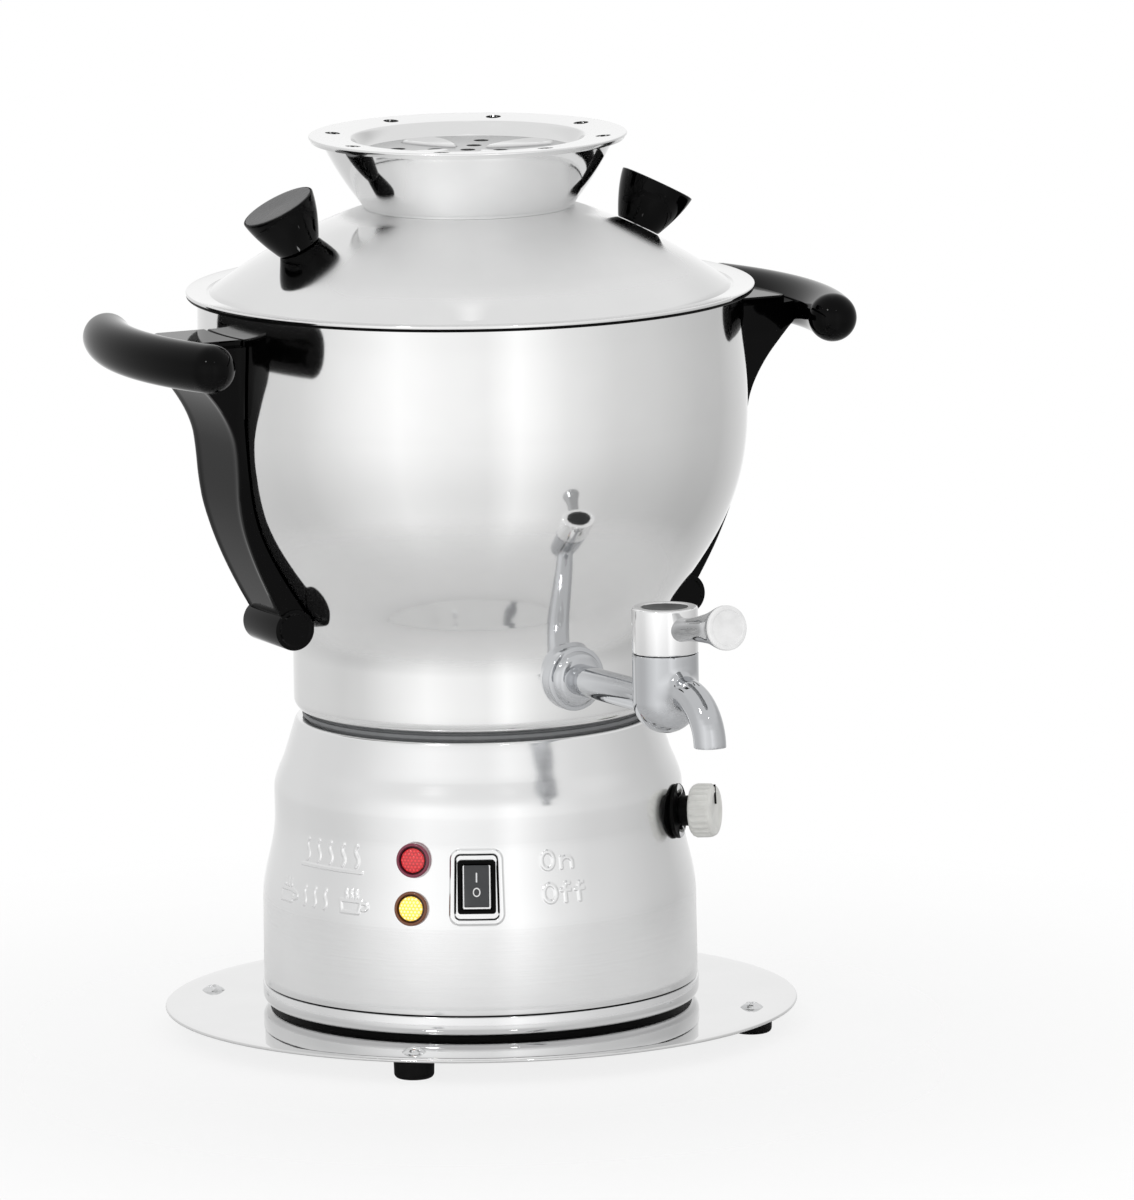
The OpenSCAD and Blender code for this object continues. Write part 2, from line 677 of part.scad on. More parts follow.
shank_r = 6;
rosette_r = 12.7;
rosette_t = 4.5;
wall_y = pot_foot_r + 2.6;         // where the rosette's flat back sits
tap_top_z = tap_z + 19.4;          // joint between the body and its cap
tap_low_z = tap_z - 12;
spout_bend_r = 19;
spout_drop = 13.5;
spout_y = tap_reach + 31.8;
spout_r = 6.3;
stem_r = 6;
module along_tap(r, y0, y1) {
    translate([0, -y0, tap_z]) rotate([90, 0, 0]) cylinder(r = r, h = y1 - y0);
}
module tap_body() {
    spout_z = tap_z + spout_bend_r - spout_drop;
    bend_y = spout_y - spout_bend_r;
    color([0.8, 0.81, 0.83]) difference() {
        union() {
            along_tap(shank_r, pot_foot_r - 12, wall_y);
            along_tap(neck_tube_r, wall_y - eps, tap_reach);
            translate([0, -tap_reach, tap_low_z + tap_r]) {
                cylinder(r = tap_r, h = tap_top_z - tap_low_z - tap_r);
                sphere(r = tap_r);
            }
            translate([0, -tap_reach, spout_z]) rotate([90, 0, 0])
                cylinder(r = spout_r, h = bend_y - tap_reach);
            translate([0, -bend_y, spout_z - spout_bend_r]) rotate([90, 0, -90])
                rotate_extrude(angle = 90) translate([spout_bend_r, 0])
                    circle(r = spout_r, $fn = 48);
        }
        along_tap(3.8, pot_foot_r - 13, tap_reach);
        translate([0, -tap_reach, tap_z - 4]) cylinder(r = stem_r + run_fit, h = 40);
        translate([0, -tap_reach, spout_z]) rotate([90, 0, 0])
            cylinder(r = outlet_bore_r, h = bend_y - tap_reach + eps);
        translate([0, -bend_y, spout_z - spout_bend_r]) rotate([90, 0, -90])
            rotate_extrude(angle = 90) translate([spout_bend_r, 0])
                circle(r = outlet_bore_r, $fn = 48);
        translate([0, -spout_y, spout_z - spout_bend_r - 1])
            cylinder(r = outlet_bore_r, h = 1 + eps);
    }
}
module tap_rosette() {
    color([0.8, 0.81, 0.83]) translate([0, -wall_y, tap_z]) rotate([90, 0, 0]) difference() {
        rotate_extrude() polygon(concat([[0, 0], [rosette_r, 0], [rosette_r, 0.9]],
            curve([rosette_r, 0.9], [rosette_r - 0.6, 2.6], [rosette_r - 3, 4],
                  [rosette_r - 5, rosette_t], 6),
            [[0, rosette_t]]));
        translate([0, 0, -1]) cylinder(r = neck_tube_r + 0.02, h = rosette_t + 2);
    }
}
washer_in_y = pot_foot_r - pot_t - 3.4;
module tap_washers() {
    color(black) {
        difference() {
            along_tap(rosette_r - 1, wall_y - 4, wall_y);
            pot_space(0.02);
            along_tap(shank_r + fit, 40, 120);
        }
        difference() {
            along_tap(rosette_r - 2, washer_in_y, pot_foot_r);
            difference() {
                cylinder(r = 200, h = 400);
                cylinder(r = pot_foot_r - pot_t - 0.02, h = 400);
            }
            along_tap(shank_r + fit, 40, 120);
        }
    }
}
module tap_nut() {
    color(steel) difference() {
        translate([0, -washer_in_y + 5, tap_z]) rotate([90, 0, 0])
            cylinder(r = 10.4, h = 5, $fn = 6);
        along_tap(shank_r + 0.02, 40, 100);
    }
}
cap_h = 18.4;
module tap_stem() {
    color([0.75, 0.62, 0.35]) translate([0, -tap_reach, 0]) difference() {
        union() {
            translate([0, 0, tap_z - 3.8]) cylinder(r = stem_r, h = tap_top_z - tap_z + 3.8);
            translate([0, 0, tap_top_z - eps]) cylinder(r = 4.4, h = cap_h - 6.3);
        }
        translate([0, 8, tap_z + 2]) rotate([90, 0, 0]) cylinder(r = 3.6, h = 16);
        translate([0, 0, tap_top_z + cap_h - 12]) cylinder(r = 1.52, h = 12);
    }
}
module tap_cap() {
    color([0.88, 0.89, 0.9]) translate([0, -tap_reach, tap_top_z + 0.3]) difference() {
        rotate_extrude() polygon(concat([[0, 0], [tap_r - 0.3, 0], [tap_r, 0.3]],
            [[tap_r, cap_h - 1.3]], arc([tap_r - 1, cap_h - 1.3], 1, 0, 90, 4),
            [[0, cap_h - 0.3]]));
        translate([0, 0, -1]) cylinder(r = 4.4 + 0.02, h = cap_h - 5.5);
        cylinder(r = 1.7, h = cap_h);
        translate([0, 0, cap_h - 4]) cylinder(r = cap_disc_r + 0.05, h = 4);
    }
}
cap_disc_r = 8.8;
module tap_cap_disc() {
    color([0.45, 0.46, 0.48]) translate([0, -tap_reach, tap_top_z + cap_h - 1])
        cylinder(r = cap_disc_r, h = 0.7);
}
module tap_cap_screw() {
    color(steel) translate([0, -tap_reach, tap_top_z + cap_h - 3.7]) {
        cylinder(r = 3, h = 1.8);
        translate([0, 0, -7]) cylinder(r = 1.5, h = 7 + eps);
    }
}
lever_tilt = 9;
lever_root_r = 4.2;
lever_cap_t = 1.6;
module lever_frame() {
    translate([0, -tap_reach, tap_top_z + 8.6]) rotate([90 - lever_tilt, 0, 0]) children();
}
module tap_lever() {
    root = tap_r - 1.5;
    length = lever_l - lever_cap_t;
    color([0.88, 0.89, 0.9]) difference() {
        lever_frame() rotate_extrude() polygon(concat([[0, root], [lever_root_r, root]],
            curve([lever_root_r, root], [lever_root_r + 0.3, root + 10],
                  [lever_end_r - 2.4, length - 12], [lever_end_r, length], 8),
            [[0, length]]));
        translate([0, -tap_reach, tap_top_z]) cylinder(r = tap_r + 0.02, h = cap_h);
    }
}
module lever_end_cap() {
    color([0.93, 0.93, 0.93]) lever_frame() rotate_extrude() polygon(concat(
        [[0, lever_l - lever_cap_t], [lever_end_r, lever_l - lever_cap_t]],
        arc([lever_end_r - 1, lever_l - 1], 1, 0, 90, 4), [[0, lever_l]]));
}

// ---------------------------------------------------------------- handles

bracket_top_z = grip_z + 3;
arm_low_z = grip_z - 5;
arm_x = grip_circle_r - 5.5;
leg_x = pot_r + 0.7;
leg_z = pot_z + 102;
leg_low = [pot_r_at(pot_z + 47) + 10.6, pot_z + 47];
roll_c = [pot_r_at(pot_z + 39.3) + roll_r + 1, pot_z + 39.3];
grip_gap = 0.02;
bracket_web = 3.2;       // what the bracket screw's head clamps against the boss
module grip_end(grow) {
    rotate([-90, 0, 0]) intersection() {
        sphere(r = grip_r + grow - 2 * eps);
        translate([0, 0, -5 * eps]) cylinder(r = 2 * grip_r, h = 2 * grip_r);
    }
}
module grip_solid(grow) {
    translate([0, 0, grip_z]) rotate([0, 0, -grip_half_angle]) {
        rotate_extrude(angle = 2 * grip_half_angle)
            translate([grip_circle_r, 0]) circle(r = grip_r + grow);
        translate([grip_circle_r, 0, 0]) mirror([0, 1, 0]) grip_end(grow);
        rotate([0, 0, 2 * grip_half_angle]) translate([grip_circle_r, 0, 0]) grip_end(grow);
    }
}
// The bracket seen from its side: an arm that carries the grip, and a leg down the pot's flank
module bracket_side() {
    polygon(concat(
        [[rim_r - 30, bracket_top_z - 1], [rim_r + 3, bracket_top_z], [arm_x, bracket_top_z],
         [arm_x, arm_low_z], [arm_x - 2.5, arm_low_z]],
        curve([arm_x - 2.5, arm_low_z], [arm_x - 15, arm_low_z - 6],
              [leg_x, leg_z + 18], [leg_x, leg_z], 10),
        curve([leg_x, leg_z], [leg_x, leg_z - 17], [leg_low[0] + 8, leg_low[1] + 17],
              leg_low, 8),
        arc(roll_c, roll_r, 30, -160, 10),
        [[roll_c[0] - 6, roll_c[1] + 10], [pot_foot_r, leg_z]]));
}
module bracket_front() {
    wide = bracket_half_w;
    low = bracket_low_half_w;
    half = concat([[wide - 0.5, bracket_top_z + 2], [wide - 0.5, leg_z + 28]],
        curve([wide - 0.5, leg_z + 28], [wide + 1, leg_z + 14], [wide, leg_z - 6],
              [low + 2, leg_z - 32], 6),
        [[low, leg_low[1] - 1], [low + 1.5, leg_low[1] - 2], [low + 1.5, roll_c[1] - 10]]);
    polygon(concat(half, [for (p = flipped(half)) [-p[0], p[1]]]));
}
module bracket_solid() {
    color(black) difference() {
        intersection() {
            rotate([90, 0, 0]) linear_extrude(60, center = true) bracket_side();
            rotate([90, 0, 90]) linear_extrude(200) bracket_front();
        }
        pot_space(0.15);
        grip_solid(grip_gap);
        translate([0, 0, boss_low_z]) along_x(boss_r + fit, boss_low_x + 0.1);
        translate([0, 0, boss_high_z]) {
            along_x(boss_r + fit, boss_high_x + 0.1);
            along_x(m5_r + fit, grip_circle_r);
            translate([boss_high_x + bracket_web, 0, 0]) along_x(m5_head_r + 0.3, 40);
        }
        translate([arm_x - 22, 0, grip_z]) along_x(m5_r + fit, 60);
        translate([0, 0, grip_z]) along_x(m5_head_r + 0.3, arm_x - 8);
    }
}
module left_bracket() { rotate([0, 0, handle_turn + 180]) bracket_solid(); }
module right_bracket() { rotate([0, 0, handle_turn]) bracket_solid(); }
module grip_piece() {
    color(black) difference() {
        grip_solid(0);
        translate([0, 0, grip_z]) along_x(m5_r + 0.02, grip_circle_r + 3);
    }
}
module left_grip() { rotate([0, 0, handle_turn + 180]) grip_piece(); }
module right_grip() { rotate([0, 0, handle_turn]) grip_piece(); }
module bracket_screws() {
    color(steel) for (side = [0, 180]) rotate([0, 0, handle_turn + side])
        translate([boss_high_x, 0, boss_high_z]) {
            translate([-2.8, 0, 0]) along_x(m5_r, 3 + bracket_web);
            translate([bracket_web, 0, 0]) along_x(m5_head_r, 2.6);
        }
}
module grip_screws() {
    color(steel) for (side = [0, 180]) rotate([0, 0, handle_turn + side])
        translate([arm_x - 8, 0, grip_z]) {
            translate([-m5_head_h, 0, 0]) along_x(m5_head_r, m5_head_h);
            translate([-eps, 0, 0]) along_x(m5_r, grip_circle_r + 2 - arm_x + 8);
        }
}

// ---------------------------------------------------------------- lid

dome_foot_r = rim_r - 5.3;
lip_h = 1.3;
// Outline of the dome's outside from its foot to the flat ring that carries the stand
function dome_outline() = concat(
    [[dome_foot_r, rim_z + 1.2]],
    curve([dome_foot_r, rim_z + 1.2], [dome_foot_r - 21.3, rim_z + dome_h / 2],
          [seat_r + 18.5, lid_seat_z - 5.7], [seat_r, lid_seat_z], 14),
    [[seat_r - 0.2, lid_seat_z]]);
module lid_dome() {
    outside = dome_outline();
    color([0.86, 0.87, 0.88]) difference() {
        rotate_extrude() polygon(concat(
            [[lid_r - 0.5, rim_z], [lid_r, rim_z + 0.5], [lid_r, rim_z + lip_h - 0.4],
             [lid_r - 0.6, rim_z + lip_h], [lid_r - 1.4, rim_z + lid_t],
             [dome_foot_r + 1.6, rim_z + lid_t], [dome_foot_r + 0.9, rim_z + 0.4]],
            outside,
            [[steam_r, lid_seat_z], [steam_r, lid_seat_z - 5],
             [steam_r + lid_t, lid_seat_z - 5], [steam_r + lid_t, lid_seat_z - lid_t]],
            flipped(moved(outside, 0, -lid_t)),
            [[dome_foot_r, rim_z]]));
        at_knobs() translate([0, 0, -12]) cylinder(r = m4_r + fit, h = 20);
    }
}
module lid_locating_ring() {
    ring_r = rim_r - pot_t - 0.5;
    color(steel) translate([0, 0, rim_z]) rotate_extrude() polygon([
        [ring_r - 2.2, 0], [ring_r - 2.2, -0.8], [ring_r - 0.8, -0.8], [ring_r - 0.8, -7],
        [ring_r - 0.2, -7.4], [ring_r, -7], [ring_r, 0]]);
}
// The dome's height and slope at the knobs' distance from the axis
function dome_z_at(r) =
    let (pts = dome_outline(), hit = [for (i = [1:len(pts) - 1])
        if (pts[i][0] <= r && r <= pts[i - 1][0] && pts[i][0] < pts[i - 1][0])
            pts[i - 1][1] + (pts[i][1] - pts[i - 1][1])
                * (pts[i - 1][0] - r) / (pts[i - 1][0] - pts[i][0])]) hit[0];
knob_z = dome_z_at(knob_reach);
knob_lean = atan2(dome_z_at(knob_reach - 6) - dome_z_at(knob_reach + 6), 12);
knob_cap_r = knob_top_r - 0.9;
knob_cap_t = 1.2;
module at_knobs() {
    for (side = [0, 180]) rotate([0, 0, lid_turn + side])
        translate([knob_reach, 0, knob_z]) rotate([0, knob_lean, 0]) children();
}
module lid_knobs() {
    color(black) at_knobs() difference() {
        rotate_extrude() polygon(concat([[0, 0.1], [knob_foot_r, 0.1]],
            curve([knob_foot_r, 0.1], [knob_foot_r + 2.3, 4.5],
                  [knob_top_r - 0.9, knob_h - 7], [knob_top_r, knob_h - 0.6], 8),
            [[knob_top_r - 0.4, knob_h], [0, knob_h]]));
        translate([0, 0, knob_h - knob_cap_t]) cylinder(r = knob_cap_r + 0.05, h = 3);
        translate([0, 0, -1]) cylinder(r = m4_r + 0.02, h = 12);
    }
}
module lid_knob_caps() {
    color([0.35, 0.36, 0.37]) at_knobs() translate([0, 0, knob_h - knob_cap_t])
        cylinder(r = knob_cap_r, h = knob_cap_t + 0.1);
}
module lid_knob_screws() {
    color(steel) at_knobs() {
        translate([0, 0, -lid_t - 1.9]) cylinder(r = m4_r, h = 12);
        translate([0, 0, -lid_t - 0.7]) mirror([0, 0, 1]) {
            ring(5, m4_r + fit, 0.8);
            translate([0, 0, 0.8]) dome_head(m4_head_r, m4_head_h);
        }
    }
}

// ---------------------------------------------------------------- teapot stand

stand_turn = 3;
tray_t = 0.8;
stand_top_z = lid_seat_z + stand_h;
flange_in_z = stand_top_z - 1.1;
floor_z = flange_in_z - recess_d;
floor_r = recess_r - 4;
flange_hole_circle = recess_r + flange_hole_gap;
petals = 4;
petal_in = 8;
petal_out = floor_r - 4.5;
petal_w = 8.5;
floor_hole_r = 3;
// One pressed petal of the tray's floor, pointing along +X
module petal() {
    shoulder = petal_out - 4;
    side = concat([[petal_in, 0]],
        curve([petal_in, 0], [14, 5], [22, petal_w], [shoulder, petal_w], 8),
        curve([shoulder, petal_w], [petal_out - 1, petal_w], [petal_out, 4], [petal_out, 0], 4));
    polygon(concat(side, [for (p = flipped(side)) if (p[1] > 0) [p[0], -p[1]]]));
}
module stand_tray() {
    color([0.82, 0.83, 0.84]) rotate([0, 0, stand_turn]) difference() {
        union() {
            rotate_extrude() polygon([
                [0, floor_z], [floor_r, floor_z], [recess_r - 0.6, flange_in_z - 0.3],
                [recess_r + 0.6, flange_in_z], [stand_r - 0.6, stand_top_z],
                [stand_r, stand_top_z - 0.5], [stand_r, stand_top_z - 2.3],
                [stand_r - tray_t, stand_top_z - 2.3], [stand_r - tray_t, stand_top_z - 1],
                [recess_r + 1, flange_in_z - tray_t], [recess_r + 0.2, flange_in_z - 1.2],
                [floor_r + 0.5, floor_z - tray_t], [0, floor_z - tray_t]]);
            for (i = [0:petals - 1]) rotate([0, 0, 360 * i / petals])
                translate([0, 0, floor_z - eps]) linear_extrude(petal_h) petal();
        }
        for (i = [0:flange_holes - 1]) rotate([0, 0, 360 * i / flange_holes])
            translate([flange_hole_circle, 0, stand_top_z - 6])
                cylinder(r = flange_hole_r, h = 10);
        translate([0, 0, floor_z - 2]) cylinder(r = floor_hole_r, h = 4);
        for (i = [0:petals - 1]) for (r = [13, 28]) rotate([0, 0, (i + 0.5) * 360 / petals])
            translate([r, 0, floor_z - 2]) cylinder(r = floor_hole_r, h = 4);
    }
}
stand_foot_r = seat_r - seat;
stand_neck_r = stand_r - 4.9;
shell_join_z = stand_top_z - 1.5;
module stand_shell() {
    outside = concat([[stand_foot_r - 0.6, lid_seat_z], [stand_foot_r, lid_seat_z + 0.6]],
        curve([stand_foot_r, lid_seat_z + 0.6], [stand_foot_r + 6.4, lid_seat_z + 8],
              [stand_neck_r - 4, shell_join_z - 9], [stand_neck_r, shell_join_z], 8));
    color([0.84, 0.85, 0.86]) rotate_extrude() polygon(concat(outside,
        [[stand_neck_r - tray_t, shell_join_z]],
        [for (p = flipped(moved(outside, -tray_t))) if (p[1] > lid_seat_z + 1) p],
        [[steam_r - 1, lid_seat_z + tray_t], [steam_r - 1, lid_seat_z]]));
}
module stand_collar() {
    color(steel) translate([0, 0, lid_seat_z - 4]) ring(steam_r - 1, steam_r - 1.9, 4.8);
}

// ---------------------------------------------------------------- assembly

base_plate();
rubber_feet();
foot_screws();
spacer_ring();
base_pan();
pan_screws();
heater_shell();
red_lamp_lens();
amber_lamp_lens();
lamp_holders();
lamp_clips();
switch_frame();
switch_rocker();
dial_plate();
thermostat_knob();
thermostat_shaft();
thermostat_body();
thermostat_screws();
power_inlet();
inlet_pins();
inlet_screws();
terminal_block();
thermal_cutout();
heating_element();
heat_plate();
clamp_bridge();
bridge_nuts();
seal_ring();
pot_foot();
pot_body();
pot_studs();
tap_body();
tap_rosette();
tap_washers();
tap_nut();
tap_stem();
tap_cap();
tap_lever();
lever_end_cap();
tap_cap_disc();
tap_cap_screw();
left_bracket();
right_bracket();
left_grip();
right_grip();
bracket_screws();
grip_screws();
lid_dome();
lid_locating_ring();
lid_knobs();
lid_knob_caps();
lid_knob_screws();
stand_tray();
stand_shell();
stand_collar();
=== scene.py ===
"""Looks of an electric samovar: finishes, modelled surfaces, light and camera.

Sizes are millimetres in the object's own frame (vertical axis Z, tap towards -Y) and are turned
into metres when a mesh is made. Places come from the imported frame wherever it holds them.
"""
import json
import math

import bmesh
import bpy
import numpy as np
from mathutils import Matrix, Vector

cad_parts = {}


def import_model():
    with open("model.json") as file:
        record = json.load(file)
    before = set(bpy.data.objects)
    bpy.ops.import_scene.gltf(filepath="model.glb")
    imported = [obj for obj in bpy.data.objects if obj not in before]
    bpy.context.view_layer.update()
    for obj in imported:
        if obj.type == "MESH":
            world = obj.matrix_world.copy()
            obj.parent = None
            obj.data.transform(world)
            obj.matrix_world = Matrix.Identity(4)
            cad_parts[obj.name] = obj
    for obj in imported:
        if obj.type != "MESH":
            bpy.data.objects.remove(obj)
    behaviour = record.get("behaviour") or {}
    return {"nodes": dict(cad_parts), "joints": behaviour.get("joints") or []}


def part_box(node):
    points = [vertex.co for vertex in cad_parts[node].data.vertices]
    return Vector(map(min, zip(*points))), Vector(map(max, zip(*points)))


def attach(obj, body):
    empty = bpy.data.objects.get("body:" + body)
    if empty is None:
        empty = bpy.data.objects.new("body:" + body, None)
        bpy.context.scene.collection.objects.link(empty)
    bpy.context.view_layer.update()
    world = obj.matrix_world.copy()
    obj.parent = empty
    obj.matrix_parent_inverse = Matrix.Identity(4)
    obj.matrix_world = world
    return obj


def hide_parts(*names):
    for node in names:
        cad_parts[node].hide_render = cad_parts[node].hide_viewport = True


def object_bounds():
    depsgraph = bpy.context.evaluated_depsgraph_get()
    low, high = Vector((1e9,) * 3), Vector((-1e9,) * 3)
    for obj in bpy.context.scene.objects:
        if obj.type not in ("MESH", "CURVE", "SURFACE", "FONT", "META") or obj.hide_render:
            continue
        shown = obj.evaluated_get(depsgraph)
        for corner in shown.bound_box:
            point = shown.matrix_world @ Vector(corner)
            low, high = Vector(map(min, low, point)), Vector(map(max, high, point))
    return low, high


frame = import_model()
cad_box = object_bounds()

MM = 0.001
SEGMENTS = 288
FLOOR_R = 440.0
scene = bpy.context.scene


# ---------------- sizes taken from the frame
def span(node):
    """Lowest and highest corner of a CAD node in millimetres."""
    low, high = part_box(node)
    return np.array(low) / MM, np.array(high) / MM


def heights(node):
    """Lowest and highest Z of a CAD node in millimetres."""
    return [end[2] for end in span(node)]


plate_r, _, plate_top = span("base_plate")[1]
pan_low, pan_high = heights("base_pan")
shell_z, shell_top_z = heights("heater_shell")
pot_z = heights("seal_ring")[1]
rim_z = heights("pot_body")[1]
lid_r, _, lid_seat_z = span("lid_dome")[1]
stand_r, _, stand_top_z = span("stand_tray")[1]
tap_at = next(j["pos_m"] for j in frame["joints"] if j["name"] == "tap_turn")
tap_reach, tap_z = -tap_at[1] / MM, tap_at[2] / MM

shell_r, waist_r, neck_r = 86.0, 80.6, 72.0
pot_r, pot_foot_r = 108.7, 72.3
POT_CORNER = 5
rim_r = pot_r - 1.1
dome_r = rim_r - 5.3
VENT_RING_R = 51.6
PETAL_RISE = 1.1
FOOT_REACH = 110

HANDLE_TURN = -6.0
LID_TURN = -12.0
STAND_TURN = 3.0
SWITCH_ANGLE = -31.8
SWITCH_Z = 62.0
LAMP_ANGLE = -49.2
RED_Z = 72.0
AMBER_Z = 53.4
LAMP_R = 6.8
MARK_MM = math.radians(1) * 83          # one degree round the shell where the marks are
DIAL_ANGLE = 43.0
DIAL_Z = 80.0

TAP_TOP = 160.2
BARREL_R, NECK_R, SPOUT_R = 12.9, 6.2, 6.3
BALL_Z = tap_z - 12 + BARREL_R          # middle of the barrel's round bottom
SPOUT_BEND = 19.0
SPOUT_Y, SPOUT_Z = -(tap_reach + 31.8), tap_z + 5.5

CAMERA_BEARING = -31.0
# Brightness of the room by bearing from the camera, to the right, in degrees
WALLS = [(-180, 0.95), (-150, 0.8), (-122, 0.8), (-93, 0.76), (-77, 0.80), (-57, 0.98),
         (-31, 1.2), (-10, 1.1), (6, 1.05), (19, 1.24), (40, 0.96), (63, 0.80), (84, 0.74),
         (108, 0.64), (128, 0.60), (152, 0.75), (180, 0.95)]
CEILING, GROUND = 0.86, 0.82


# ---------------- outlines
def curve(a, b, c, d, n):
    """Points of a cubic curve from a to d, without its first point."""
    t = np.linspace(0, 1, n + 1)[1:, None]
    u = 1 - t
    a, b, c, d = (np.array(p, float) for p in (a, b, c, d))
    return (u ** 3 * a + 3 * u ** 2 * t * b + 3 * u * t ** 2 * c + t ** 3 * d).tolist()


def arc(centre, r, start, end, n):
    """Points of an arc round a centre, with angles in degrees."""
    a = np.radians(np.linspace(start, end, n + 1))
    return np.c_[centre[0] + r * np.cos(a), centre[1] + r * np.sin(a)].tolist()


def corner(r, z, k, n, up=True):
    """A quarter circle in the outer corner (r, z) of an outline, at its top or its bottom."""
    return arc((r - k, z - k), k, 0, 90, n) if up else arc((r - k, z + k), k, -90, 0, n)


def path(*steps):
    """An outline of points, lists of points, and curves that go on from the last point.

    A curve is given by its two handles, its end and its number of stretches."""
    out = []
    for step in steps:
        if isinstance(step, list):
            out += step
        elif len(step) == 2:
            out.append(list(step))
        else:
            out += curve(out[-1], *step)
    return out


def moved(points, dr, dz=0.0):
    """The same outline moved in or out and up or down."""
    return [[p[0] + dr, p[1] + dz] for p in points]


def resampled(points, step):
    """The outline with no stretch longer than a step."""
    points = [np.array(p, float) for p in points]
    out = [points[0]]
    for a, b in zip(points[:-1], points[1:]):
        count = max(1, int(math.ceil(np.linalg.norm(b - a) / step)))
        out += [a + (b - a) * (i + 1) / count for i in range(count)]
    return [p.tolist() for p in out]


def smoothstep(x):
    x = np.clip(x, 0, 1)
    return x * x * (3 - 2 * x)


def line_distance(p, line):
    """Distance of points from a chain of straight stretches."""
    line = np.asarray(line, float)
    found = []
    for a, d in zip(line[:-1], np.diff(line, axis=0)):
        t = np.clip(((p - a) @ d) / (d @ d), 0, 1)
        found.append(np.linalg.norm(p - a - t[:, None] * d, axis=1))
    return np.min(found, axis=0)


def full_turn(n):
    """Angles all the way round, in radians."""
    return np.linspace(0, 2 * np.pi, n, endpoint=False)


# ---------------- meshes
def spin(angle, axis="Z"):
    """A rotation given in degrees."""
    return Matrix.Rotation(math.radians(angle), 4, axis)


def shift(x, y=0.0, z=0.0):
    """A move given in millimetres."""
    return Matrix.Translation((x * MM, y * MM, z * MM))


def place(angle, reach, z=0.0, lean=0.0):
    """A frame whose +X faces outwards at an angle from the tap, with +Z up."""
    return spin(angle - 90) @ shift(reach, 0, z) @ spin(-lean, "Y")


OUTWARDS = spin(90, "Y")                 # turns a lathe's +Z to +X
TAP_AXIS = shift(0, -tap_reach)


def shaded(mesh, sharp):
    """Smooth shading, with sharp edges over an angle."""
    mesh.shade_smooth()
    if sharp:
        mesh.set_sharp_from_angle(angle=math.radians(sharp))


def linked(name, data):
    """A new object of the scene."""
    obj = bpy.data.objects.new(name, data)
    scene.collection.objects.link(obj)
    return obj


def mesh_object(name, verts, faces, at=None, sharp=35):
    """A smooth-shaded object from millimetre vertices, with sharp edges over an angle."""
    mesh = bpy.data.meshes.new(name)
    mesh.from_pydata((np.asarray(verts, float) * MM).tolist(), [], faces)
    if at is not None:
        mesh.transform(at)
    work = bmesh.new()
    work.from_mesh(mesh)
    bmesh.ops.remove_doubles(work, verts=work.verts, dist=1e-6)
    bmesh.ops.recalc_face_normals(work, faces=work.faces)
    work.to_mesh(mesh)
    work.free()
    shaded(mesh, sharp)
    return linked(name, mesh)


def turned(points, angles, radius=None):
    """Vertices and faces of a closed outline turned about Z.

    radius(r, z, angle) may change the radius from place to place."""
    pts = np.asarray(points, float)
    count = len(angles)
    r = np.repeat(pts[:, :1], count, 1)
    z = np.repeat(pts[:, 1:], count, 1)
    a = np.repeat(angles[None], len(pts), 0)
    if radius is not None:
        r = np.where(r > 1e-6, radius(r, z, a), 0)
    verts = np.stack([r * np.cos(a), r * np.sin(a), z], 2).reshape(-1, 3)
    index = np.arange(len(verts)).reshape(len(pts), count)
    on_axis = pts[:, 0] < 1e-6
    index[on_axis] = index[on_axis][:, :1]
    closed = not (on_axis[0] and on_axis[-1])
    rows = [(i, (i + 1) % len(pts)) for i in range(len(pts) if closed else len(pts) - 1)]
    faces = []
    for i, k in rows:
        if on_axis[i] and on_axis[k]:
            continue
        p, q = index[i], index[k]
        for a0, a1, b1, b0 in zip(p, np.roll(p, -1), np.roll(q, -1), q):
            face = [int(a0), int(a1), int(b1), int(b0)]
            faces.append([v for n, v in enumerate(face) if v not in face[:n]])
    return verts, faces


def lathe(name, points, at=None, sharp=35, n=SEGMENTS, radius=None):
    """A solid turned about Z from its outline."""
    return mesh_object(name, *turned(points, full_turn(n), radius), at, sharp)


def painted(obj, finish):
    """Gives an object one finish."""
    obj.data.materials.clear()
    obj.data.materials.append(FINISH[finish])


def dress(obj, body, finish, *nodes, slot=None):
    """Gives a piece its body and its finish, and hides the CAD nodes it stands for; the slot is not
    used.
    """
    painted(obj, finish)
    slot = slot or finish
    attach(obj, body)
    if nodes:
        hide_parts(*nodes)


def joined(name, objects):
    """One object from several meshes."""
    for o in bpy.context.selected_objects:
        o.select_set(False)
    for o in objects:
        o.select_set(True)
    bpy.context.view_layer.objects.active = objects[0]
    bpy.ops.object.join()
    objects[0].name = name
    objects[0].data.name = name
    return objects[0]


def applied(obj):
    """The object with its modifiers made part of its mesh."""
    graph = bpy.context.evaluated_depsgraph_get()
    mesh = bpy.data.meshes.new_from_object(obj.evaluated_get(graph))
    obj.modifiers.clear()
    old = obj.data
    obj.data = mesh
    bpy.data.meshes.remove(old)
    return obj


def cut_by(obj, tool, sharp=35):
    """Takes the tool's volume out of an object."""
    cut = obj.modifiers.new("cut", "BOOLEAN")
    cut.operation = "DIFFERENCE"
    cut.solver = "EXACT"
    cut.object = tool
    applied(obj)
    bpy.data.objects.remove(tool)
    shaded(obj.data, sharp)


def drilled(obj, holes, sharp=35):
    """Cuts round holes, given as (x, y, low z, high z, radius), through an object."""
    drills = [lathe("drill", [[0, low], [r, low], [r, high], [0, high]], shift(x, y), n=48)
              for x, y, low, high, r in holes]
    cut_by(obj, joined("drill", drills), sharp)


def ring_of_holes(reach, start, step, low, high, r=3):
    """Holes on a circle, one at every step in degrees."""
    return [(reach * math.cos(a), reach * math.sin(a), low, high, r)
            for a in np.radians(np.arange(start, 360, step))]


